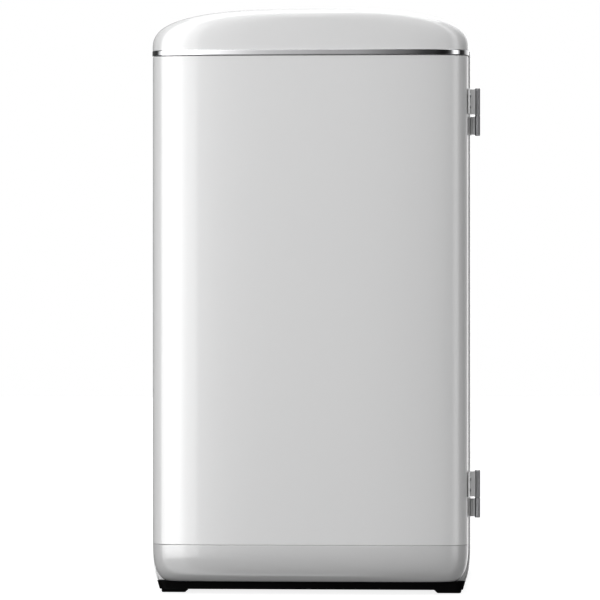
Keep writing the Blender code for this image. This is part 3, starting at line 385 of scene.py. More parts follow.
CORNER_EXPONENT = 5.0
CAP_EXPONENT = 2.9
PLAN_STEPS = 110
ARCH_STEPS = 90
EDGE_ROLL = 0.9 * MM
SKIN_WALL = 2.5 * MM
PANEL_RECESS = 6.0 * MM
CAP_CORNER_DEPTH = 59.7 * MM
CAP_ROLL_RADIUS = 16.0 * MM
CAP_FRONT_DEPTH = 70.0 * MM
CAP_FRONT_STEPS = 34
CAP_FRONT_CROWDING = 2.2
CAP_REAR_START = 6.0 * MM
CAP_REAR_RADIUS = 4.0 * MM


def bowed_front(middle_x, half_width, depth, back, steps=PLAN_STEPS):
    """Plan of the bowed front and its round corners, right to left."""
    power = 2.0 / CORNER_EXPONENT
    return [
        (
            middle_x + half_width * signed_power(cos(pi * i / steps), power),
            back - depth * sin(pi * i / steps) ** power,
        )
        for i in range(steps + 1)
    ]


def edge_rolled_heights(bottom, top, roll, steps=5):
    """Heights and insets of rings that round off both ends of a wall."""
    rounding = quarter(roll, steps)
    lower = [(bottom + rise, inset) for inset, rise in rounding]
    upper = [(top - rise, inset) for inset, rise in reversed(rounding)]
    return lower + upper


def build_door_skin():
    """The bowed door skin with rolled top and bottom edges, a rear recess and the grip's notch."""
    low, high, middle, half = measures("door_outer_panel")
    grip_low, grip_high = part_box("door_grip")
    back, depth = high.y, high.y - low.y
    notch_back = grip_low.y - 0.2 * MM
    notch_side = grip_high.x + 0.3 * MM
    left = low.x

    def ring(z, inset, recessed):
        notched = grip_low.z - 0.2 * MM <= z <= grip_high.z + 0.2 * MM
        outline = bowed_front(middle.x, half.x - inset, depth - inset, back)
        if notched:
            outline = [
                (x, min(y, notch_back)) if x < notch_side else (x, y) for x, y in outline
            ]
            rim = [(notch_side, notch_back), (notch_side, back), (notch_side + SKIN_WALL, back)]
        else:
            rim = [
                (left + inset + 0.4 * SKIN_WALL, back),
                (left + inset + 0.8 * SKIN_WALL, back),
                (left + SKIN_WALL, back),
            ]
        recess = back - (PANEL_RECESS if recessed else 0.0)
        rim += [
            (rim[-1][0], recess),
            (high.x - SKIN_WALL, recess),
            (high.x - SKIN_WALL, back),
        ]
        return [(x, y, z) for x, y in outline + rim]

    rings = [ring(z, inset, False) for z, inset in edge_rolled_heights(low.z, high.z, EDGE_ROLL)]
    split = len(rings) // 2
    inner = []
    stations = [
        low.z + SKIN_WALL, grip_low.z - 0.3 * MM, grip_low.z - 0.1 * MM,
        grip_high.z + 0.1 * MM, grip_high.z + 0.3 * MM, high.z - SKIN_WALL,
    ]
    for i, z in enumerate(stations):
        inner.append(ring(z, 0.0, True))
        if i == 0:
            inner.insert(0, ring(z - 0.05 * MM, 0.0, False))
    inner.append(ring(high.z - SKIN_WALL + 0.05 * MM, 0.0, False))
    show("door_skin", skin(rings[:split] + inner + rings[split:]), "white_enamel", "door",
         ["door_outer_panel"], sharp=32.0)


def cap_ring(setback, inset_ends=0.0):
    """The cap's arch at a distance behind its front; the front edge rolls over."""
    low, high, middle, half = measures("top_cap")
    into = max(0.0, 1.0 - setback / CAP_CORNER_DEPTH)
    half_width = half.x * (1.0 - into ** CORNER_EXPONENT) ** (1.0 / CORNER_EXPONENT) - inset_ends
    roll = max(0.0, 1.0 - setback / CAP_ROLL_RADIUS)
    height = high.z - low.z - CAP_ROLL_RADIUS * (1.0 - sqrt(1.0 - roll * roll)) - inset_ends
    power = 2.0 / CAP_EXPONENT
    return [
        (
            middle.x + half_width * signed_power(cos(pi * i / ARCH_STEPS), power),
            low.y + setback,
            low.z + height * sin(pi * i / ARCH_STEPS) ** power,
        )
        for i in range(ARCH_STEPS + 1)
    ]


def build_cap():
    """The domed cap, finely lofted from its rolled front edge to a softly rounded rear."""
    low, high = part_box("top_cap")
    length = high.y - low.y
    setbacks = [
        CAP_FRONT_DEPTH * (i / CAP_FRONT_STEPS) ** CAP_FRONT_CROWDING for i in range(1, CAP_FRONT_STEPS + 1)
    ]
    setbacks += spaced(CAP_FRONT_DEPTH, length - CAP_REAR_START, 8)[1:]
    rings = [cap_ring(setback) for setback in setbacks]
    for inset, rise in reversed(quarter(CAP_REAR_RADIUS, 6)):
        rings.append(cap_ring(length - rise, inset))
    show("cap_shell", skin(rings), "white_enamel", "cabinet", ["top_cap"], sharp=50.0)


def build_trim():
    """The chrome band, with its upper and lower edges rounded off."""
    low, high, middle, half = measures("trim_band")
    back, depth = high.y, high.y - low.y
    height = high.z - low.z
    bead = [(0.0, 0.9), (0.03, 0.30), (0.07, 0.08), (0.12, 0.02), (0.2, 0.0), (0.5, 0.0)]
    bead += [(1.0 - share, inset) for share, inset in reversed(bead[:-1])]
    rings = [
        [
            (x, y, low.z + share * height)
            for x, y in bowed_front(middle.x, half.x - inset * MM, depth - inset * MM, back)
        ]
        for share, inset in bead
    ]
    show("trim_strip", skin(rings), "trim_chrome", "cabinet", ["trim_band"], sharp=30.0)


KICK_EXPONENT = 2.6
KICK_LEAN = 1.0 * MM
KICK_LIFT = 0.8 * MM


def build_kick_panel():
    """The lower front panel, curving under at the front and at both corners."""
    low, high, middle, half = measures("lower_front_panel")
    back, depth = high.y, high.y - low.y
    curve_height, side_inset, front_inset = 55.3 * MM, 29.0 * MM, 42.0 * MM
    steps = 26
    drop_share = (high.z - low.z) / curve_height
    rings = []
    for inset, rise in quarter(0.6 * MM, 4):
        rings.append((high.z + KICK_LIFT - rise, inset, inset))
    for i in range(1, steps + 1):
        drop = drop_share * sin(pi / 2 * i / steps)
        curve = 1.0 - (1.0 - drop ** KICK_EXPONENT) ** (1.0 / KICK_EXPONENT)
        lean = KICK_LEAN * drop
        rings.append((high.z - curve_height * drop, side_inset * curve, front_inset * curve + lean))
    shape = [
        [(x, y, z) for x, y in bowed_front(middle.x, half.x - across, depth - along, back)]
        for z, across, along in rings
    ]
    # The panel takes the darker copy of the white enamel: painted shade on the lower band.
    show("kick_panel", skin(shape), "white_enamel", "cabinet", ["lower_front_panel"], sharp=50.0,
         finish="shaded_kick_enamel")


def build_sides():
    """Cabinet sides: a softly rolled front edge, a flat wall, and a tuck towards the floor."""
    tuck_start, tuck_height, tuck_depth = 66.0 * MM, 50.0 * MM, 10.0 * MM
    edge = 1.6 * MM
    for side, sign in SIDES.items():
        name = f"{side}_side_panel"
        low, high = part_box(name)
        outer = low.x if sign < 0 else high.x
        wall = 2.0 * MM
        bottoms = [low.z + (tuck_start - low.z) * (1.0 - cos(pi / 2 * i / 12)) for i in range(13)]
        heights = bottoms + [high.z - 1.0 * MM, high.z]

        def surface(z):
            rise = max(0.0, (tuck_start - z) / tuck_height)
            return outer - sign * tuck_depth * (1.0 - sqrt(1.0 - rise * rise))

        rings = []
        for z in heights:
            x = surface(z)
            front = [
                (x - sign * inset, low.y + rise, z) for inset, rise in quarter(edge, 5)
            ]
            rear = [(x, high.y - 0.5 * MM, z), (x - sign * 0.5 * MM, high.y, z)]
            inner = [(x - sign * wall, high.y, z), (x - sign * wall, low.y, z)]
            rings.append(front + rear + inner)
        show(f"{side}_side", skin(rings), "white_enamel", "cabinet", [name], sharp=40.0)


# ---------------------------------------------------------------- plain shapes for small parts

ROUND_STEPS = 56
CENTRE_X = extent("top_cap")[0].x


def block(low, high):
    """A rectangular solid between two corners."""
    x0, y0, z0 = low
    x1, y1, z1 = high
    return prism([(x0, y0), (x1, y0), (x1, y1), (x0, y1)], (z0, z1))


def turned(centre, profile, along="z", closed=False, steps=ROUND_STEPS):
    """A solid of revolution from (radius, place) points about an axis along z, y or x."""
    rings = []
    for radius, place in profile:
        ring = []
        for i in range(steps):
            u = centre[0] + radius * cos(2 * pi * i / steps)
            v = centre[1] + radius * sin(2 * pi * i / steps)
            ring.append(in_space(u, v, place, along))
        rings.append(ring)
    return skin(rings, closed=closed)


def gather(shapes):
    """Several separate solids in one mesh."""
    total = bmesh.new()
    for shape in shapes:
        part = bpy.data.meshes.new("part")
        shape.to_mesh(part)
        shape.free()
        total.from_mesh(part)
        bpy.data.meshes.remove(part)
    return total


def place_shape(shape, place, direction):
    """Stand a shape drawn along +Z on a place, facing a direction."""
    turn = Vector(direction).to_track_quat("Z", "Y").to_matrix().to_4x4()
    bmesh.ops.transform(shape, matrix=Matrix.Translation(place) @ turn, verts=shape.verts)
    return shape


def screw_head(radius):
    """A pan head with a hexagon socket, its seat at the origin."""
    socket, floor = 0.42 * radius, 0.30 * radius
    outside = [(radius, 0.0), (radius, 0.30 * radius)]
    outside += [
        (radius * cos(pi / 2 * i / 6) * 0.45 + 0.55 * radius, radius * (0.30 + 0.42 * sin(pi / 2 * i / 6)))
        for i in range(1, 7)
    ]
    inside = [(socket, 0.72 * radius), (socket, floor), (0.02 * radius, floor)]
    steps = 24
    rings = []
    for number, (reach, z) in enumerate(outside + inside):
        sides = 6 if number >= len(outside) else steps
        ring = []
        for i in range(steps):
            angle = 2 * pi * i / steps
            within = angle % (2 * pi / sides) - pi / sides
            bend = cos(pi / sides) / cos(within)
            ring.append((reach * bend * cos(angle), reach * bend * sin(angle), z))
        rings.append(ring)
    return skin(rings)


def show_screws(name, places, direction, radius, body, slot="machine_steel"):
    """A set of equal screw heads."""
    heads = [place_shape(screw_head(radius), place, direction) for place in places]
    show(name, gather(heads), slot, body, sharp=35.0)


# ---------------------------------------------------------------- hinges, base and back

BARREL_RADIUS = 4.0 * MM
PIN_BORE = 2.1 * MM
HINGE_AXIS_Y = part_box("lower_cabinet_hinge")[0].y + BARREL_RADIUS
LEAF_THICKNESS = 2.0 * MM
LEAF_END_GAP = 1.5 * MM
LEAF_SCREW_OFFSETS = (-8.0 * MM, 8.0 * MM)


def build_hinge_half(level, half, body, web_side):
    """A bored steel barrel on a white painted leaf that wraps its edge."""
    name = f"{level}_{half}_hinge"
    low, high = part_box(name)
    axis = (high.x - BARREL_RADIUS, HINGE_AXIS_Y)
    soft = 0.5 * MM
    barrel = turned(axis, [
        (PIN_BORE, low.z),
        (BARREL_RADIUS - soft, low.z),
        (BARREL_RADIUS, low.z + soft),
        (BARREL_RADIUS, high.z - soft),
        (BARREL_RADIUS - soft, high.z),
        (PIN_BORE, high.z),
    ], closed=True)
    show(f"{level}_{half}_barrel", barrel, "hinge_steel", body, [name], sharp=25.0)
    thickness = LEAF_THICKNESS
    face = low.x
    far = high.y if web_side > 0 else low.y
    near = axis[1] + web_side * 1.2 * MM
    reach = axis[0] - 0.86 * BARREL_RADIUS
    bend = axis[1] + web_side * (5.0 if web_side > 0 else 6.0) * MM
    outline = [
        (face, far),
        (face, bend),
        (face + 0.6 * MM, near + web_side * 0.8 * MM),
        (reach, near),
        (reach + 0.4 * MM, near + web_side * thickness),
        (face + thickness + 0.8 * MM, bend + web_side * 1.2 * MM),
        (face + thickness, bend + web_side * 3.0 * MM),
        (face + thickness, far),
    ]
    leaf = prism(outline, (low.z + LEAF_END_GAP, high.z - LEAF_END_GAP))
    show(f"{level}_{half}_leaf", leaf, "hinge_steel", body, sharp=30.0, bevel=0.35 * MM,
         finish="white_enamel")
    y = (far + bend) / 2 + web_side * 2.0 * MM
    middle = (low.z + high.z) / 2
    places = [Vector((face + thickness, y, middle + offset)) for offset in LEAF_SCREW_OFFSETS]
    show_screws(f"{level}_{half}_leaf_screws", places, (1, 0, 0), 2.6 * MM, body)


def build_hinges():
    """Both hinges: cabinet half below, door half above, and the pin's domed cap."""
    for level in ("lower", "upper"):
        build_hinge_half(level, "cabinet", "cabinet", 1)
        build_hinge_half(level, "door", "door", -1)
        low, high, middle, half = measures(f"{level}_hinge_pin")
        dome = [(half.x * cos(pi / 2 * i / 6), high.z - half.x * (1 - sin(pi / 2 * i / 6))) for i in range(6)]
        pin = turned((middle.x, middle.y), [(half.x, low.z)] + dome + [(0.02 * half.x, high.z)], steps=32)
        show(f"{level}_pin", pin, "machine_steel", "cabinet", [f"{level}_hinge_pin"])


def build_rear_details():
    """Louvre hoods, pressed ribs and the screws round the rear cover."""
    low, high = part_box("rear_cover")
    face = high.y
    hoods = []
    pitch, bottom, half_length = 18.0 * MM, 150.0 * MM, 72.0 * MM
    for row in range(6):
        z = bottom + pitch * row
        section = [
            (face, z - 2.0 * MM),
            (face + 3.2 * MM, z - 1.0 * MM),
            (face + 3.6 * MM, z + 1.5 * MM),
            (face + 2.6 * MM, z + 5.0 * MM),
            (face, z + 9.0 * MM),
            (face, z + 7.8 * MM),
            (face + 1.8 * MM, z + 4.4 * MM),
            (face + 2.6 * MM, z + 1.2 * MM),
            (face + 2.4 * MM, z),
        ]
        hoods.append(prism(section, (CENTRE_X - half_length, CENTRE_X + half_length), "x"))
    show("louvre_hoods", gather(hoods), "galvanised", "cabinet", sharp=35.0)
    bottom, top, half_width, rise = 0.300, 0.740, 5.0 * MM, 1.6 * MM
    ribs = [
        faded_rib(bottom, top, 0.6, half_width, rise, lambda z, across, up: (x + across, face + up, z))
        for x in (CENTRE_X - 0.120, CENTRE_X + 0.120)
    ]
    show("rear_ribs", gather(ribs), "galvanised", "cabinet", sharp=60.0)
    edge = 9.0 * MM
    places = [
        Vector((x, face, z))
        for x in (low.x + edge, high.x - edge)
        for z in spaced(low.z + 0.075, high.z - 0.020, 5)
    ]
    places += [Vector((CENTRE_X + x, face, high.z - edge)) for x in (-0.11, 0.0, 0.11)]
    show_screws("rear_screws", places, (0, 1, 0), 3.4 * MM, "cabinet")


def build_feet():
    """Moulded feet with a bevelled sole and a stepped inner side."""
    for end in ("front", "rear"):
        for side in SIDES:
            name = f"{end}_{side}_foot"
            low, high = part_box(name)
            inner = high.x if side == "left" else low.x
            outer = low.x if side == "left" else high.x
            toward = 1.0 if inner > outer else -1.0
            section = [
                (outer, high.z),
                (outer, low.z + 2.0 * MM),
                (outer + toward * 0.7 * MM, low.z + 0.6 * MM),
                (outer + toward * 2.0 * MM, low.z),
                (inner - toward * 5.0 * MM, low.z),
                (inner - toward * 1.0 * MM, low.z + 3.8 * MM),
                (inner, low.z + 5.4 * MM),
                (inner, high.z),
            ]
            shape = prism(section, (low.y, high.y), "y")
            # The treads take the near-black copy of the black finish: painted shade under the cabinet.
            show(f"{end}_{side}_tread", shape, "black_rubber", "cabinet", [name], sharp=30.0,
                 bevel=0.6 * MM, finish="shaded_black_base")


# ---------------------------------------------------------------- press and drive

THREAD_PITCH = 8.0 * MM
THREAD_DEPTH = 1.6 * MM
THREAD_STEPS = 40
THREAD_SLICES_PER_PITCH = 9
CHAIN_PITCH = 9.525 * MM
CHAIN_OUTSIDE_TIPS = 6.6 * MM
CHAIN_ARC_STEPS = 40
BOLT_COUNT = 4


def thread_height(share):
    """How full the trapezoid thread is at a share of its pitch, 0 at the root and 1 at the crest."""
    from_crest = abs(share - 0.5)
    return min(1.0, max(0.0, (0.36 - from_crest) / 0.16))


def build_lead_screw(side):
    """A two-start right-hand trapezoid thread between plain journals."""
    name = f"{side}_lead_screw"
    low, high, middle, half = measures(name)
    crest, journal = half.x, 8.0 * MM
    start, end = low.z + 0.0565, high.z - 0.016

    def ring(z, reach):
        """Points round the axis, at a radius that may change with the share of a turn."""
        points = []
        for i in range(THREAD_STEPS):
            turn = i / THREAD_STEPS
            radius = reach(turn)
            points.append((middle.x + radius * cos(2 * pi * turn), middle.y + radius * sin(2 * pi * turn), z))
        return points

    def thread(z):
        """The thread's radius round the screw at a height."""
        return lambda turn: crest - THREAD_DEPTH * (
            1.0 - thread_height(((z - start) / THREAD_PITCH - 2.0 * turn) % 1.0))

    rings = [ring(z, lambda turn, r=r: r) for r, z in (
        (journal - MM, low.z), (journal, low.z + MM), (journal, start))]
    count = int((end - start) / (THREAD_PITCH / THREAD_SLICES_PER_PITCH)) + 1
    rings += [ring(z, thread(z)) for z in spaced(start, end, count)]
    rings += [ring(z, lambda turn, r=r: r) for r, z in (
        (journal, end), (journal, high.z - MM), (journal - MM, high.z))]
    show(f"{side}_thread", skin(rings), "machine_steel", f"{side}_screw", [name], sharp=32.0)


def build_nut(side):
    """A round steel nut with a chamfered, bolted flange."""
    name = f"{side}_screw_nut"
    low, high, middle, half = measures(name)
    bore, body_radius, flange = 10.3 * MM, 16.0 * MM, half.x
    step = high.z - 4.7 * MM
    centre = (middle.x, middle.y)
    shape = turned(centre, [
        (bore, low.z + 0.6 * MM), (bore + 0.6 * MM, low.z), (body_radius - MM, low.z),
        (body_radius, low.z + MM), (body_radius, step), (flange, step), (flange, high.z - 0.8 * MM),
        (flange - 0.8 * MM, high.z), (bore + 0.8 * MM, high.z), (bore, high.z - 0.8 * MM),
    ], closed=True)
    show(f"{side}_nut", shape, "machine_steel", "ram", [name], sharp=30.0)
    places = bolt_square(middle, 14.6 * MM, high.z)
    show_screws(f"{side}_nut_bolts", places, (0, 0, 1), 2.6 * MM, "ram")


def build_bearing(side):
    """A thrust bearing housing with a stepped, chamfered body."""
    name = f"{side}_thrust_bearing"
    low, high, middle, half = measures(name)
    centre = (middle.x, middle.y)
    bore, seat, drain = 8.3 * MM, low.z + 10.2 * MM, 3.0 * MM
    shape = turned(centre, [
        (drain, low.z), (half.x, low.z), (half.x, low.z + 9.0 * MM), (half.x - 2.4 * MM, low.z + 11.0 * MM),
        (half.x - 2.4 * MM, high.z - 2.0 * MM), (half.x - 4.0 * MM, high.z), (bore + 0.8 * MM, high.z),
        (bore, high.z - 0.8 * MM), (bore, seat), (drain, seat),
    ], closed=True)
    show(f"{side}_bearing", shape, "machine_steel", "cabinet", [name], sharp=30.0)


def build_ram_details():
    """The round-cornered press plate, its sloping webs, and the bolts on plate and beam."""
    beam_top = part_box("ram_beam")[1].z
    plate_low, plate_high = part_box("ram_plate")
    column_low, column_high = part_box("ram_column")
    middle, half = extent("ram_plate")
    corner, soft = 20.0 * MM, 3.0 * MM
    rings = []
    levels = [(inset, plate_low.z + rise) for inset, rise in quarter(soft, 5)]
    levels += [(inset, plate_high.z - rise) for inset, rise in reversed(quarter(1.0 * MM, 3))]
    for inset, z in levels:
        rings.append([(x, y, z) for x, y in rounded_plan(middle, half, inset, corner)])
    show("press_plate", skin(rings), "galvanised", "ram", ["ram_plate"], sharp=30.0)
    wall, rise = 3.0 * MM, 34.0 * MM
    webs = []
    for sign in SIDES.values():
        root = middle.x + sign * (column_high.x - column_low.x) / 2
        for y in (column_low.y + wall, column_high.y - 2 * wall):
            outline = [
                (root, plate_high.z),
                (root, plate_high.z + rise),
                (root + sign * 6.0 * MM, plate_high.z + rise),
                (root + sign * 78.0 * MM, plate_high.z + 5.0 * MM),
                (root + sign * 78.0 * MM, plate_high.z),
            ]
            webs.append(prism(outline, (y, y + wall), "y"))
    show("plate_webs", gather(webs), "galvanised", "ram", sharp=30.0)
    places = [
        Vector((middle.x + x, middle.y + y, plate_high.z))
        for x in (-0.105, 0.105) for y in (-0.115, 0.115)
    ]
    places += [
        Vector((middle.x + x, middle.y + y, beam_top)) for x in (-0.030, 0.030) for y in (-0.017, 0.017)
    ]
    show_screws("ram_bolts", places, (0, 0, 1), 5.0 * MM, "ram")


def rounded_plan(middle, half, inset, corner, steps=9):
    """A rectangle's plan with round corners, moved in by the inset, counter-clockwise."""
    radius = corner - inset
    points = []
    for start, sx, sy in ((0.0, 1, 1), (pi / 2, -1, 1), (pi, -1, -1), (3 * pi / 2, 1, -1)):
        cx = middle.x + sx * (half.x - corner)
        cy = middle.y + sy * (half.y - corner)
        for i in range(steps + 1):
            angle = start + pi / 2 * i / steps
            points.append((cx + radius * cos(angle), cy + radius * sin(angle)))
    return points


def build_motor():
    """The motor: a finned can on a bolted flange with a domed end bell."""
    low, high, middle, half = measures("motor")
    centre = (middle.x, middle.y)
    can = half.x - 4.0 * MM
    profile = [(half.x - 0.8 * MM, low.z), (half.x, low.z + 0.8 * MM), (half.x, low.z + 5.2 * MM),
               (half.x - 0.8 * MM, low.z + 6.0 * MM), (can, low.z + 6.4 * MM)]
    fin_start, fin_end, fins, groove = low.z + 20.0 * MM, high.z - 30.0 * MM, 9, 3.2 * MM
    pitch = (fin_end - fin_start) / fins
    for i in range(fins):
        z = fin_start + pitch * i
        profile += [
            (can, z), (can - groove, z + 0.14 * pitch), (can - groove, z + 0.50 * pitch),
            (can, z + 0.64 * pitch),
        ]
    bell, dome, steps = can - 1.2 * MM, 9.0 * MM, 6
    profile += [(can, high.z - 20.0 * MM), (bell, high.z - 19.0 * MM), (bell, high.z - dome)]
    profile += [
        (bell - dome * (1 - cos(pi / 2 * i / steps)), high.z - dome * (1 - sin(pi / 2 * i / steps)))
        for i in range(1, steps + 1)
    ]
    profile += [(12.0 * MM, high.z), (11.0 * MM, high.z - 1.5 * MM), (0.5 * MM, high.z - 1.5 * MM)]
    show("motor_can", turned(centre, profile), "motor_paint", "cabinet", ["motor"], sharp=28.0)
    places = bolt_square(middle, half.x - 0.2 * MM - 3.4 * MM, low.z + 6.0 * MM)
    show_screws("motor_bolts", places, (0, 0, 1), 3.0 * MM, "cabinet")


def chain_path():
    """Points one pitch apart along the loop round the three sprockets, at the chain's middle."""
    wheels = []
    for name, teeth in (("left_sprocket", 24), ("right_sprocket", 24), ("drive_gear", 12)):
        middle, _ = extent(name)
        radius = CHAIN_PITCH / (2 * sin(pi / teeth)) + CHAIN_OUTSIDE_TIPS
        wheels.append((Vector((middle.x, middle.y)), radius))
    leaving = []
    for i in range(3):
        (near, near_radius), (far, far_radius) = wheels[i], wheels[(i + 1) % 3]
        span = far - near
        leaving.append(atan2(span.y, span.x) - acos((near_radius - far_radius) / span.length))
    points = []
    for i, (centre, radius) in enumerate(wheels):
        turn = (leaving[i] - leaving[i - 1]) % (2 * pi)
        for step in range(CHAIN_ARC_STEPS + 1):
            angle = leaving[i - 1] + turn * step / CHAIN_ARC_STEPS
            points.append(centre + radius * Vector((cos(angle), sin(angle))))
    lengths = [(b - a).length for a, b in zip(points, points[1:] + points[:1])]
    count = round(sum(lengths) / CHAIN_PITCH / 2) * 2
    stride = sum(lengths) / count
    places, travelled, i = [], 0.0, 0
    for number in range(count):
        while travelled + lengths[i] < number * stride:
            travelled += lengths[i]
            i += 1
        share = (number * stride - travelled) / lengths[i]
        places.append(points[i].lerp(points[(i + 1) % len(points)], share))
    return places


def build_chain():
    """Roller-chain links: rollers, and inner and outer plates in turn."""
    low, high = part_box("drive_chain")
    places = chain_path()
    shapes = []
    middle = (low.z + high.z) / 2
    for number, place in enumerate(places):
        after = places[(number + 1) % len(places)]
        shapes.append(turned((place.x, place.y), [
            (1.0 * MM, low.z), (1.0 * MM, low.z + 1.1 * MM), (1.9 * MM, low.z + 1.1 * MM),
            (1.9 * MM, high.z - 1.1 * MM), (1.0 * MM, high.z - 1.1 * MM), (1.0 * MM, high.z),
        ], steps=14))
        offset = (1.75 if number % 2 else 1.15) * MM
        for level in (middle - offset, middle + offset):
            shapes.append(link_plate(place, after, level))
    show("chain_links", gather(shapes), "machine_steel", "cabinet", ["drive_chain"], sharp=35.0)


def link_plate(start, end, level):
    """One waisted side plate between two pins."""
    along = (end - start).normalized()
    across = Vector((-along.y, along.x))
    radius, waist, thickness = 2.2 * MM, 1.5 * MM, 0.45 * MM
    outline = [start + radius * (across * cos(a) - along * sin(a)) for a in spaced(0.1, pi - 0.1, 7)]
    outline.append((start + end) / 2 - across * waist)
    outline += [end + radius * (along * sin(a) - across * cos(a)) for a in spaced(0.1, pi - 0.1, 7)]
    outline.append((start + end) / 2 + across * waist)
    return prism(outline, (level - thickness / 2, level + thickness / 2))


def build_press():
    """Screws, nuts and bearings on both sides, the ram, the motor and the chain."""
    for side in SIDES:
        build_lead_screw(side)
        build_nut(side)
        build_bearing(side)
    build_ram_details()
    build_motor()
    build_chain()


# ---------------------------------------------------------------- door inside

BORDER_CORNER = 3.0 * MM
FIELD_CORNER = 46.0 * MM
FIELD_SINK = 4.0 * MM

def rectangle_ring(low, high, inset, y, corner, steps=5):
    """Points round an upright rectangle with round corners, moved in by the inset."""
    radius = max(corner - inset, 0.4 * MM)
    x0, x1, z0, z1 = low.x + inset, high.x - inset, low.z + inset, high.z - inset
    points = []
    corners = (
        (x1, z1, 0.0, -1, -1), (x0, z1, pi / 2, 1, -1), (x0, z0, pi, 1, 1), (x1, z0, 3 * pi / 2, -1, 1),
    )
    for x, z, start, sx, sz in corners:
        for i in range(steps + 1):
            angle = start + pi / 2 * i / steps
            points.append((x + sx * radius + radius * cos(angle), y, z + sz * radius + radius * sin(angle)))
    return points


def build_door_liner():
    """The door's moulded inner panel: a flat border, a raised field and crosswise ribs."""
    low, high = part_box("door_inner_panel")
    grip_low, grip_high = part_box("door_grip")
    left = grip_high.x + 2.6 * MM
    face = high.y
    start = Vector((left, 0.0, low.z))
    border = [(0.0, low.y), (0.0, face)]
    field = [
        (30.0 * MM, face), (33.0 * MM, face - 1.0 * MM),
        (37.0 * MM, face - 3.4 * MM), (41.0 * MM, face - FIELD_SINK),
    ]
    rings = [rectangle_ring(start, high, inset, y, BORDER_CORNER) for inset, y in border]
    rings += [rectangle_ring(start, high, inset, y, FIELD_CORNER) for inset, y in field]
    show("door_liner", skin(rings), "white_enamel", "door", ["door_inner_panel"], sharp=40.0,
         finish="white_liner")
    strip = block((low.x, low.y, low.z), (left + 0.2 * MM, face, grip_low.z - 3.0 * MM))
    upper = block((low.x, low.y, grip_high.z + 3.0 * MM), (left + 0.2 * MM, face, high.z))
    show("door_liner_edge", gather([strip, upper]), "white_enamel", "door", bevel=0.5 * MM,
         finish="white_liner")
    half_width, rise, reach = 6.0 * MM, 2.6 * MM, 0.060
    ribs = [
        faded_rib(left + reach, high.x - reach, 0.7, half_width, rise,
                  lambda x, across, up: (x, face - FIELD_SINK + up, z + across))
        for z in spaced(low.z + 0.130, high.z - 0.130, 5)
    ]
    show("door_liner_ribs", gather(ribs), "white_enamel", "door", sharp=60.0, finish="white_liner")
    places = [Vector((x, face, z)) for x in (left + 0.006, high.x - 0.005)
              for z in spaced(low.z + 0.005, high.z - 0.005, 2)]
    show_screws("door_liner_screws", places, (0, 1, 0), 2.2 * MM, "door")


def build_gasket():
    """The gasket's bellows profile, mitred round the door."""
    low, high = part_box("door_gasket")
    depth = high.y - low.y
    width = 12.0 * MM
    profile = [
        (0.0, 0.0), (0.10, 0.12), (0.04, 0.35), (0.10, 0.58), (0.16, 0.85), (0.28, 1.0), (0.72, 1.0),
        (0.84, 0.85), (0.90, 0.58), (0.96, 0.35), (0.90, 0.12), (1.0, 0.0),
    ]
    rings = [
        rectangle_ring(low, high, across * width, low.y + up * depth, 14.0 * MM)
        for across, up in profile
    ]
    show("gasket_bellows", skin(rings, closed=True), "gasket_grey", "door", ["door_gasket"], sharp=30.0)


def build_grip():
    """The scooped finger grip with rounded lips in the door's free edge."""
    low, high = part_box("door_grip")
    wall, outer, inner = 1.8 * MM, 3.0 * MM, 5.0 * MM
    outline = [(low.x, low.y), (high.x - outer, low.y)]
    outline += [
        (high.x - outer + outer * sin(a), low.y + outer * (1 - cos(a))) for a in spaced(0.2, pi / 2, 6)
    ]
    outline += [(high.x, high.y), (high.x - wall, high.y)]
    outline += [
        (high.x - wall - inner * (1 - cos(a)), low.y + wall + inner * (1 - sin(a)))
        for a in spaced(0.0, pi / 2, 7)
    ]
    outline.append((low.x, low.y + wall))
    body = prism(outline, (low.z, high.z))
    ends = [
        block((low.x, low.y, z), (high.x, high.y, z + wall)) for z in (low.z, high.z - wall)
    ]
    show("grip_scoop", body, "black_plastic", "door", ["door_grip"], sharp=35.0)
    show("grip_cheeks", gather(ends), "black_plastic", "door", bevel=0.4 * MM)


# ---------------------------------------------------------------- bin and its carriage

BIN_FRONT_Y = -175.0 * MM
HANDLE_PIVOT = Vector((CENTRE_X, -181.0 * MM, 420.0 * MM))
LOCK_PIVOT_X = CENTRE_X + 140.0 * MM
LOCK_PIVOT_Z = 132.5 * MM
BAIL_FACETS = 20
BAIL_HALF_WIDTH = 6.0 * MM
BAIL_HALF_DEPTH = 3.0 * MM
BAIL_BEND = 16.0 * MM

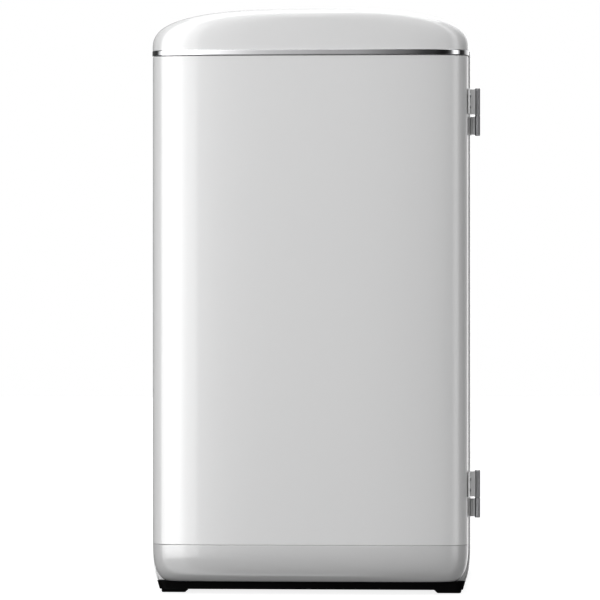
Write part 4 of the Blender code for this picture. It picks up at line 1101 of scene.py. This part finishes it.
def build_bin():
    """The moulded bin: drafted walls, stepped foot, rolled rim and upright ribs."""
    low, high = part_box("trash_bin")
    rim, wall, corner, taper = 4.0 * MM, 3.0 * MM, 25.0 * MM, 8.0 * MM
    middle = Vector(((low.x + high.x) / 2, (BIN_FRONT_Y + high.y - rim) / 2))
    half = Vector(((high.x - low.x) / 2 - rim, (high.y - rim - BIN_FRONT_Y) / 2))
    height = high.z - low.z

    def ring(z, inset):
        drafted = inset + taper * (high.z - z) / height
        return [(x, y, z) for x, y in rounded_plan(middle, half, drafted, corner)]

    outside = [
        (low.z, 3.0 * MM), (low.z + 1.0 * MM, 1.0 * MM), (low.z + 3.0 * MM, 0.0), (high.z - 14.0 * MM, 0.0),
    ]
    rolled_rim = [
        (high.z - 13.6 * MM, -rim + 0.6 * MM), (high.z - 12.8 * MM, -rim), (high.z - 1.6 * MM, -rim),
        (high.z - 0.4 * MM, -rim + MM), (high.z, -rim + 2.2 * MM), (high.z, wall - MM),
    ]
    inside = [(high.z - MM, wall), (low.z + wall + 4.0 * MM, wall), (low.z + wall, wall + 4.0 * MM)]
    rings = [ring(z, inset) for z, inset in outside + rolled_rim + inside]
    show("bin_shell", skin(rings), "grey_plastic", "carriage", ["trash_bin"], sharp=30.0)
    ribs = []
    for sign in SIDES.values():
        for y in spaced(middle.y - 0.110, middle.y + 0.110, 6):
            foot, top = low.z + 14.0 * MM, high.z - 13.0 * MM
            root = [middle.x + sign * (half.x - taper * (high.z - z) / height) for z in (foot, top)]
            outline = [(root[0], foot), (root[1], top), (root[1] + sign * 3.0 * MM, top),
                       (root[0] + sign * 3.0 * MM, foot + 6.0 * MM)]
            ribs.append(prism(outline, (y - MM, y + MM), "y"))
    show("bin_ribs", gather(ribs), "grey_plastic", "carriage", bevel=0.4 * MM)
    handle_low, handle_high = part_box("bin_handle")
    pivot = HANDLE_PIVOT
    ears = []
    for sign in SIDES.values():
        near = middle.x + sign * ((handle_high.x - handle_low.x) / 2 + 1.5 * MM)
        far = near + sign * 5.0 * MM
        outline = [(BIN_FRONT_Y + 2.0 * MM, pivot.z - 12.0 * MM), (pivot.y, pivot.z - 8.0 * MM)]
        outline += [
            (pivot.y - 8.0 * MM * sin(a), pivot.z - 8.0 * MM * cos(a)) for a in spaced(0.25, pi - 0.25, 9)
        ]
        outline += [(BIN_FRONT_Y + 2.0 * MM, pivot.z + 8.0 * MM)]
        ears.append(prism(outline, (near, far), "x"))
    show("bin_ears", gather(ears), "grey_plastic", "carriage", bevel=0.5 * MM)


def build_handle():
    """The bail: two arms on a round grip bar, swept with round corners, with pivot bosses."""
    low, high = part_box("bin_handle")
    bend = BAIL_BEND
    left, right = low.x + BAIL_HALF_WIDTH, high.x - BAIL_HALF_WIDTH
    bottom = low.z + BAIL_HALF_WIDTH
    path = [(left, high.z - 1.0 * MM, -pi / 2), (left, bottom + bend, -pi / 2)]
    path += [
        (left + bend * (1 - cos(a)), bottom + bend * (1 - sin(a)), a - pi / 2)
        for a in spaced(0.15, pi / 2, 8)
    ]
    path += [
        (right - bend * (1 - sin(a)), bottom + bend * (1 - cos(a)), a)
        for a in spaced(0.0, pi / 2 - 0.15, 8)
    ]
    path += [(right, bottom + bend, pi / 2), (right, high.z - 1.0 * MM, pi / 2)]
    rings = []
    for x, z, heading in path:
        rings.append([
            (
                x - BAIL_HALF_WIDTH * cos(2 * pi * i / BAIL_FACETS) * sin(heading),
                HANDLE_PIVOT.y + BAIL_HALF_DEPTH * sin(2 * pi * i / BAIL_FACETS),
                z + BAIL_HALF_WIDTH * cos(2 * pi * i / BAIL_FACETS) * cos(heading),
            )
            for i in range(BAIL_FACETS)
        ])
    show("handle_bail", skin(rings), "black_plastic", "handle", ["bin_handle"], sharp=40.0)
    bosses = []
    for side, x in (("left", left), ("right", right)):
        start, end = sorted((x, x + SIDES[side] * 7.2 * MM))
        bosses.append(turned((HANDLE_PIVOT.y, HANDLE_PIVOT.z), [
            (2.2 * MM, start), (3.0 * MM, start + 0.6 * MM), (3.0 * MM, end - 0.6 * MM), (2.2 * MM, end),
        ], along="x", steps=28))
    show("handle_bosses", gather(bosses), "black_plastic", "handle", sharp=30.0)


def build_lock():
    """The lock lever's pivot screw and finger rib."""
    low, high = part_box("bin_lock")
    pivot = Vector((LOCK_PIVOT_X, low.y, LOCK_PIVOT_Z))
    show_screws("lock_screw", [pivot], (0, -1, 0), 3.6 * MM, "lock")
    ribs = [
        block((x, low.y - 0.8 * MM, pivot.z - 3.0 * MM), (x + 1.2 * MM, low.y + 0.2 * MM, pivot.z + 2.0 * MM))
        for x in spaced(high.x - 15.0 * MM, high.x - 6.0 * MM, 4)
    ]
    show("lock_ribs", gather(ribs), "black_plastic", "lock", bevel=0.2 * MM)


# ---------------------------------------------------------------- controls and service parts

def build_controls():
    """Button caps, key lock, bezel rings and the panel's two screws."""
    rings = []
    for name, body, slot, rise in (
        ("start_button", "start", "start_green", 1.0 * MM), ("stop_button", "stop", "stop_red", 0.6 * MM),
    ):
        low, high, middle, half = measures(name)
        radius = half.x
        dished = [
            (0.02 * MM, low.y + rise * 0.8), (0.35 * radius, low.y + rise * 0.62),
            (0.62 * radius, low.y + rise * 0.25), (0.80 * radius, low.y),
            (0.92 * radius, low.y + 0.15 * MM), (radius, low.y + 0.9 * MM), (radius, high.y),
        ]
        show(f"{name}_cap", turned((middle.x, middle.z), dished, along="y"), slot, body, [name], sharp=35.0)
        rings.append((middle, radius))
    low, high, middle, half = measures("key_switch")
    rings.append((middle, half.x))
    radius = half.x
    face = [
        (2.6 * MM, low.y + 1.4 * MM), (3.6 * MM, low.y + 0.5 * MM), (6.2 * MM, low.y + 0.4 * MM),
        (6.8 * MM, low.y), (radius - 0.8 * MM, low.y), (radius, low.y + 0.8 * MM), (radius, high.y),
        (2.6 * MM, high.y),
    ]
    show("key_barrel", turned((middle.x, middle.z), face, along="y", closed=True), "machine_steel", "key",
         ["key_switch"], sharp=30.0)
    plug = turned((middle.x, middle.z), [
        (0.02 * MM, low.y + 1.2 * MM), (2.5 * MM, low.y + 1.2 * MM), (2.5 * MM, high.y)], along="y", steps=32)
    show("key_plug", plug, "machine_steel", "key", sharp=30.0, finish="black_paint")
    slot_half = Vector((0.5 * MM, 0.0, 2.1 * MM))
    centre = Vector((middle.x, low.y + 1.1 * MM, middle.z))
    show("key_way", block(centre - slot_half, centre + slot_half + Vector((0.0, 0.4 * MM, 0.0))),
         "machine_steel", "key")
    panel_low, panel_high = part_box("control_panel")
    bezels = []
    for middle, radius in rings:
        inner = radius + 0.65 * MM
        bezels.append(turned((middle.x, middle.z), [
            (inner, panel_low.y), (inner, panel_low.y - 0.25 * MM),
            (inner + 0.5 * MM, panel_low.y - 0.28 * MM), (inner + 2.0 * MM, panel_low.y - 0.1 * MM),
            (inner + 2.2 * MM, panel_low.y),
        ], along="y", closed=True))
    show("control_bezels", gather(bezels), "trim_chrome", "cabinet", sharp=30.0)
    places = [
        Vector((x, panel_low.y, (panel_low.z + panel_high.z) / 2)) for x in
        (panel_low.x + 0.014, panel_high.x - 0.014)
    ]
    show_screws("panel_screws", places, (0, -1, 0), 1.0 * MM, "cabinet")


def build_service_details():
    """Board components, filter slats, inlet pins, post screws and the liners' pressed ribs."""
    low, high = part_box("control_board")
    parts = [
        block((low.x + dx, high.y - 0.2 * MM, low.z + dz), (low.x + dx + w, high.y + rise, low.z + dz + h))
        for dx, dz, w, h, rise in (
            (0.010, 0.010, 0.022, 0.028, 0.012), (0.040, 0.012, 0.018, 0.018, 0.015),
            (0.068, 0.010, 0.030, 0.012, 0.009), (0.012, 0.060, 0.026, 0.018, 0.011),
            (0.050, 0.055, 0.016, 0.040, 0.006), (0.078, 0.045, 0.024, 0.024, 0.013),
            (0.015, 0.110, 0.050, 0.012, 0.010), (0.078, 0.105, 0.020, 0.030, 0.008),
        )
    ]
    show("board_parts", gather(parts), "black_plastic", "cabinet", bevel=0.6 * MM)
    low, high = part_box("odour_filter")
    slats = [
        block((low.x + 6.0 * MM, low.y - 1.6 * MM, z), (high.x - 6.0 * MM, low.y + 0.2 * MM, z + 2.4 * MM))
        for z in spaced(low.z + 8.0 * MM, high.z - 10.4 * MM, 13)
    ]
    show("filter_slats", gather(slats), "black_plastic", "cabinet", bevel=0.4 * MM)
    low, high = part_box("power_inlet")
    middle, _ = extent("power_inlet")
    pins = [
        block((x - 1.0 * MM, low.y + 6.0 * MM, z - 2.2 * MM), (x + 1.0 * MM, high.y - 3.0 * MM, z + 2.2 * MM))
        for x, z in (
            (middle.x - 7.0 * MM, middle.z - 2.5 * MM), (middle.x + 7.0 * MM, middle.z - 2.5 * MM),
            (middle.x, middle.z + 3.0 * MM),
        )
    ]
    show("inlet_pins", gather(pins), "machine_steel", "cabinet", bevel=0.3 * MM)
    low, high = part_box("left_front_post")
    face = low.y
    inner_low, inner_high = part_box("right_front_post")
    places = [
        Vector((x, face, z))
        for x in ((low.x + high.x) / 2, (inner_low.x + inner_high.x) / 2)
        for z in spaced(low.z + 0.045, high.z - 0.060, 4)
    ]
    show_screws("post_screws", places, (0, -1, 0), 1.0 * MM, "cabinet")
    ribs = []
    for side, sign in SIDES.items():
        low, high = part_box(f"{side}_chamber_liner")
        face = high.x if sign < 0 else low.x
        ribs += [
            faded_rib(low.y + 0.060, high.y - 0.050, 0.7, 5.0 * MM, 1.4 * MM,
                      lambda y, across, up: (face - sign * up, y, z + across))
            for z in spaced(0.520, 0.700, 4)
        ]
    show("liner_ribs", gather(ribs), "galvanised", "cabinet", sharp=60.0)


def build_inside():
    """Everything that is seen once the door is open."""
    build_door_liner()
    build_gasket()
    build_grip()
    build_bin()
    build_handle()
    build_lock()
    build_controls()
    build_service_details()


# ---------------------------------------------------------------- studio

CAMERA_DISTANCE = 6.0
CAMERA_SIDE = 0.34
CAMERA_HEIGHT = 0.433
METRES_PER_PIXEL = 0.001465
FRAME_PIXELS = 600
SENSOR = 36.0
AIM_OFFSET = -0.0128
KEY_HEIGHT = 0.55
FLOOR_RADIUS = 12.0
FLOOR_DROP = 0.5 * MM
FLOOR_TONE = 0.28
FLOOR_GLOW = 0.86
HORIZON_FADE = {"From Min": -0.45, "From Max": -0.14, "To Min": 0.30, "To Max": 1.0}

KEY_POWER = 12.0
OVERHEAD_POWER = 14.0
ROOM_STRENGTH = 1.36
GLINT_STRENGTH = 4.6

# Room brightness by bearing, in degrees from the camera side, positive towards the hinges
ROOM = [
    (-180.0, 1.00), (-170.0, 0.30), (-150.0, 0.08), (-111.0, 0.05), (-90.0, 0.04), (-82.0, 0.12),
    (-75.0, 0.50), (-68.0, 0.90), (-60.0, 1.00), (-12.0, 1.00), (-9.0, 0.95), (-5.3, 0.76), (-3.8, 0.56),
    (-3.3, 0.48), (-2.6, 0.34), (0.2, 0.18), (7.9, 0.05), (22.0, 0.01), (29.0, 0.02), (35.0, 0.10),
    (42.0, 0.70), (49.0, 1.00), (55.0, 0.90), (62.0, 0.40), (69.0, 0.02), (96.0, 0.04), (125.0, 0.55),
    (148.0, 0.90), (166.0, 1.00), (180.0, 1.00),
]

# Extra brightness of the softboxes, seen in reflections only
GLINTS = [
    (-180.0, 0.0), (-64.0, 0.0), (-58.0, 1.0), (-23.5, 1.0), (-18.0, 0.35), (-9.0, 0.10), (-4.0, 0.0),
    (38.0, 0.0), (45.0, 0.14), (54.0, 0.14), (60.0, 0.02), (66.0, 0.0), (180.0, 0.0),
]


def add_camera():
    """A long lens at half height, a little to the right of the front's middle."""
    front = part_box("door_outer_panel")[0].y
    data = bpy.data.cameras.new("camera")
    data.sensor_width = SENSOR
    target = Vector((CENTRE_X + AIM_OFFSET, front, CAMERA_HEIGHT))
    place = Vector((CENTRE_X + CAMERA_SIDE, front - CAMERA_DISTANCE, CAMERA_HEIGHT))
    reach = (target - place).length
    data.lens = SENSOR * reach / (FRAME_PIXELS * METRES_PER_PIXEL)
    data.clip_end = 60.0
    camera = bpy.data.objects.new("camera", data)
    camera.location = place
    camera.rotation_euler = (target - place).to_track_quat("-Z", "Y").to_euler()
    bpy.context.scene.collection.objects.link(camera)
    bpy.context.scene.camera = camera


def add_softbox(name, place, target, width, height, power):
    """A rectangular area light."""
    data = bpy.data.lights.new(name, "AREA")
    data.shape = "RECTANGLE"
    data.size = width
    data.size_y = height
    data.energy = power
    lamp = bpy.data.objects.new(name, data)
    lamp.location = place
    lamp.rotation_euler = (Vector(target) - Vector(place)).to_track_quat("-Z", "Y").to_euler()
    bpy.context.scene.collection.objects.link(lamp)


def add_lights():
    """A tall key softbox on the left and a box overhead; the room itself gives the rest."""
    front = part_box("door_outer_panel")[0].y
    add_softbox("key", (-1.05, front - 1.45, KEY_HEIGHT), (-0.10, front, KEY_HEIGHT), 1.10, 2.2, KEY_POWER)
    add_softbox("overhead", (0.0, front + 0.1, 2.3), (0.0, front + 0.25, 0.8), 1.6, 1.1, OVERHEAD_POWER)


def add_room():
    """The world: white to the camera, and a room whose walls differ in brightness for the rest."""
    world = bpy.data.worlds.new("studio")
    bpy.context.scene.world = world
    world.use_nodes = True
    tree = world.node_tree
    tree.nodes.clear()

    def add(kind, **settings):
        node = tree.nodes.new(kind)
        for key, value in settings.items():
            setattr(node, key, value)
        return node

    def arithmetic(operation, *terms):
        """A maths node whose terms are sockets or numbers."""
        node = add("ShaderNodeMath", operation=operation)
        for place, term in zip(node.inputs, terms):
            if isinstance(term, float):
                place.default_value = term
            else:
                tree.links.new(term, place)
        return node.outputs["Value"]

    direction = add("ShaderNodeSeparateXYZ")
    tree.links.new(add("ShaderNodeTexCoord").outputs["Generated"], direction.inputs["Vector"])
    toward = arithmetic("MULTIPLY", direction.outputs["Y"], -1.0)
    bearing = arithmetic("ARCTAN2", direction.outputs["X"], toward)
    share = add("ShaderNodeMapRange")
    share.inputs["From Min"].default_value = -pi
    share.inputs["From Max"].default_value = pi
    tree.links.new(bearing, share.inputs["Value"])

    def levels(table):
        ramp = add("ShaderNodeValToRGB")
        stops = ramp.color_ramp.elements
        ends = [(stops[0], table[0][1]), (stops[1], table[-1][1])]
        for stop, level in ends:
            stop.color = (level, level, level, 1.0)
        for angle, level in table[1:-1]:
            stops.new((angle + 180.0) / 360.0).color = (level, level, level, 1.0)
        tree.links.new(share.outputs["Result"], ramp.inputs["Fac"])
        return ramp.outputs["Color"]

    path = add("ShaderNodeLightPath").outputs
    glints = arithmetic("MULTIPLY", levels(GLINTS), path["Is Glossy Ray"])
    total = arithmetic("MULTIPLY_ADD", glints, GLINT_STRENGTH / ROOM_STRENGTH, levels(ROOM))
    below = add("ShaderNodeMapRange")
    for key, value in HORIZON_FADE.items():
        below.inputs[key].default_value = value
    tree.links.new(direction.outputs["Z"], below.inputs["Value"])
    dimmed = arithmetic("MULTIPLY", total, below.outputs["Result"])
    room = add("ShaderNodeBackground")
    tree.links.new(dimmed, room.inputs["Color"])
    room.inputs["Strength"].default_value = ROOM_STRENGTH
    backdrop = add("ShaderNodeBackground")
    backdrop.inputs["Color"].default_value = (1.0, 1.0, 1.0, 1.0)
    backdrop.inputs["Strength"].default_value = 1.0
    chosen = add("ShaderNodeMixShader")
    tree.links.new(path["Is Camera Ray"], chosen.inputs["Fac"])
    tree.links.new(room.outputs["Background"], chosen.inputs[1])
    tree.links.new(backdrop.outputs["Background"], chosen.inputs[2])
    tree.links.new(chosen.outputs["Shader"], add("ShaderNodeOutputWorld").inputs["Surface"])


def add_floor():
    """A floor that glows for the camera, catches light for the rest, and isn't reflected."""
    shape = bmesh.new()
    bmesh.ops.create_circle(shape, cap_ends=True, segments=96, radius=FLOOR_RADIUS)
    mesh = bpy.data.meshes.new("floor")
    shape.to_mesh(mesh)
    shape.free()
    floor = bpy.data.objects.new("floor", mesh)
    floor.location = (0.0, 0.0, -FLOOR_DROP)
    bpy.context.scene.collection.objects.link(floor)
    n = Nodes("studio_floor")
    n.set(Base_Color=(FLOOR_TONE,) * 3, Roughness=0.85, Emission_Color=(1.0, 1.0, 1.0))
    floor.visible_glossy = False
    glow = n.add("ShaderNodeMath", operation="MULTIPLY")
    n.link(n.add("ShaderNodeLightPath").outputs["Is Camera Ray"], glow.inputs[0])
    glow.inputs[1].default_value = FLOOR_GLOW
    n.link(glow.outputs["Value"], n.shader.inputs["Emission Strength"])
    mesh.materials.append(n.material)


bpy.context.scene.view_settings.view_transform = "Standard"
dress_cad_nodes()
build_door_skin()
build_cap()
build_trim()
build_kick_panel()
build_sides()
build_hinges()
build_rear_details()
build_feet()
build_press()
build_inside()
add_camera()
add_lights()
add_room()
add_floor()
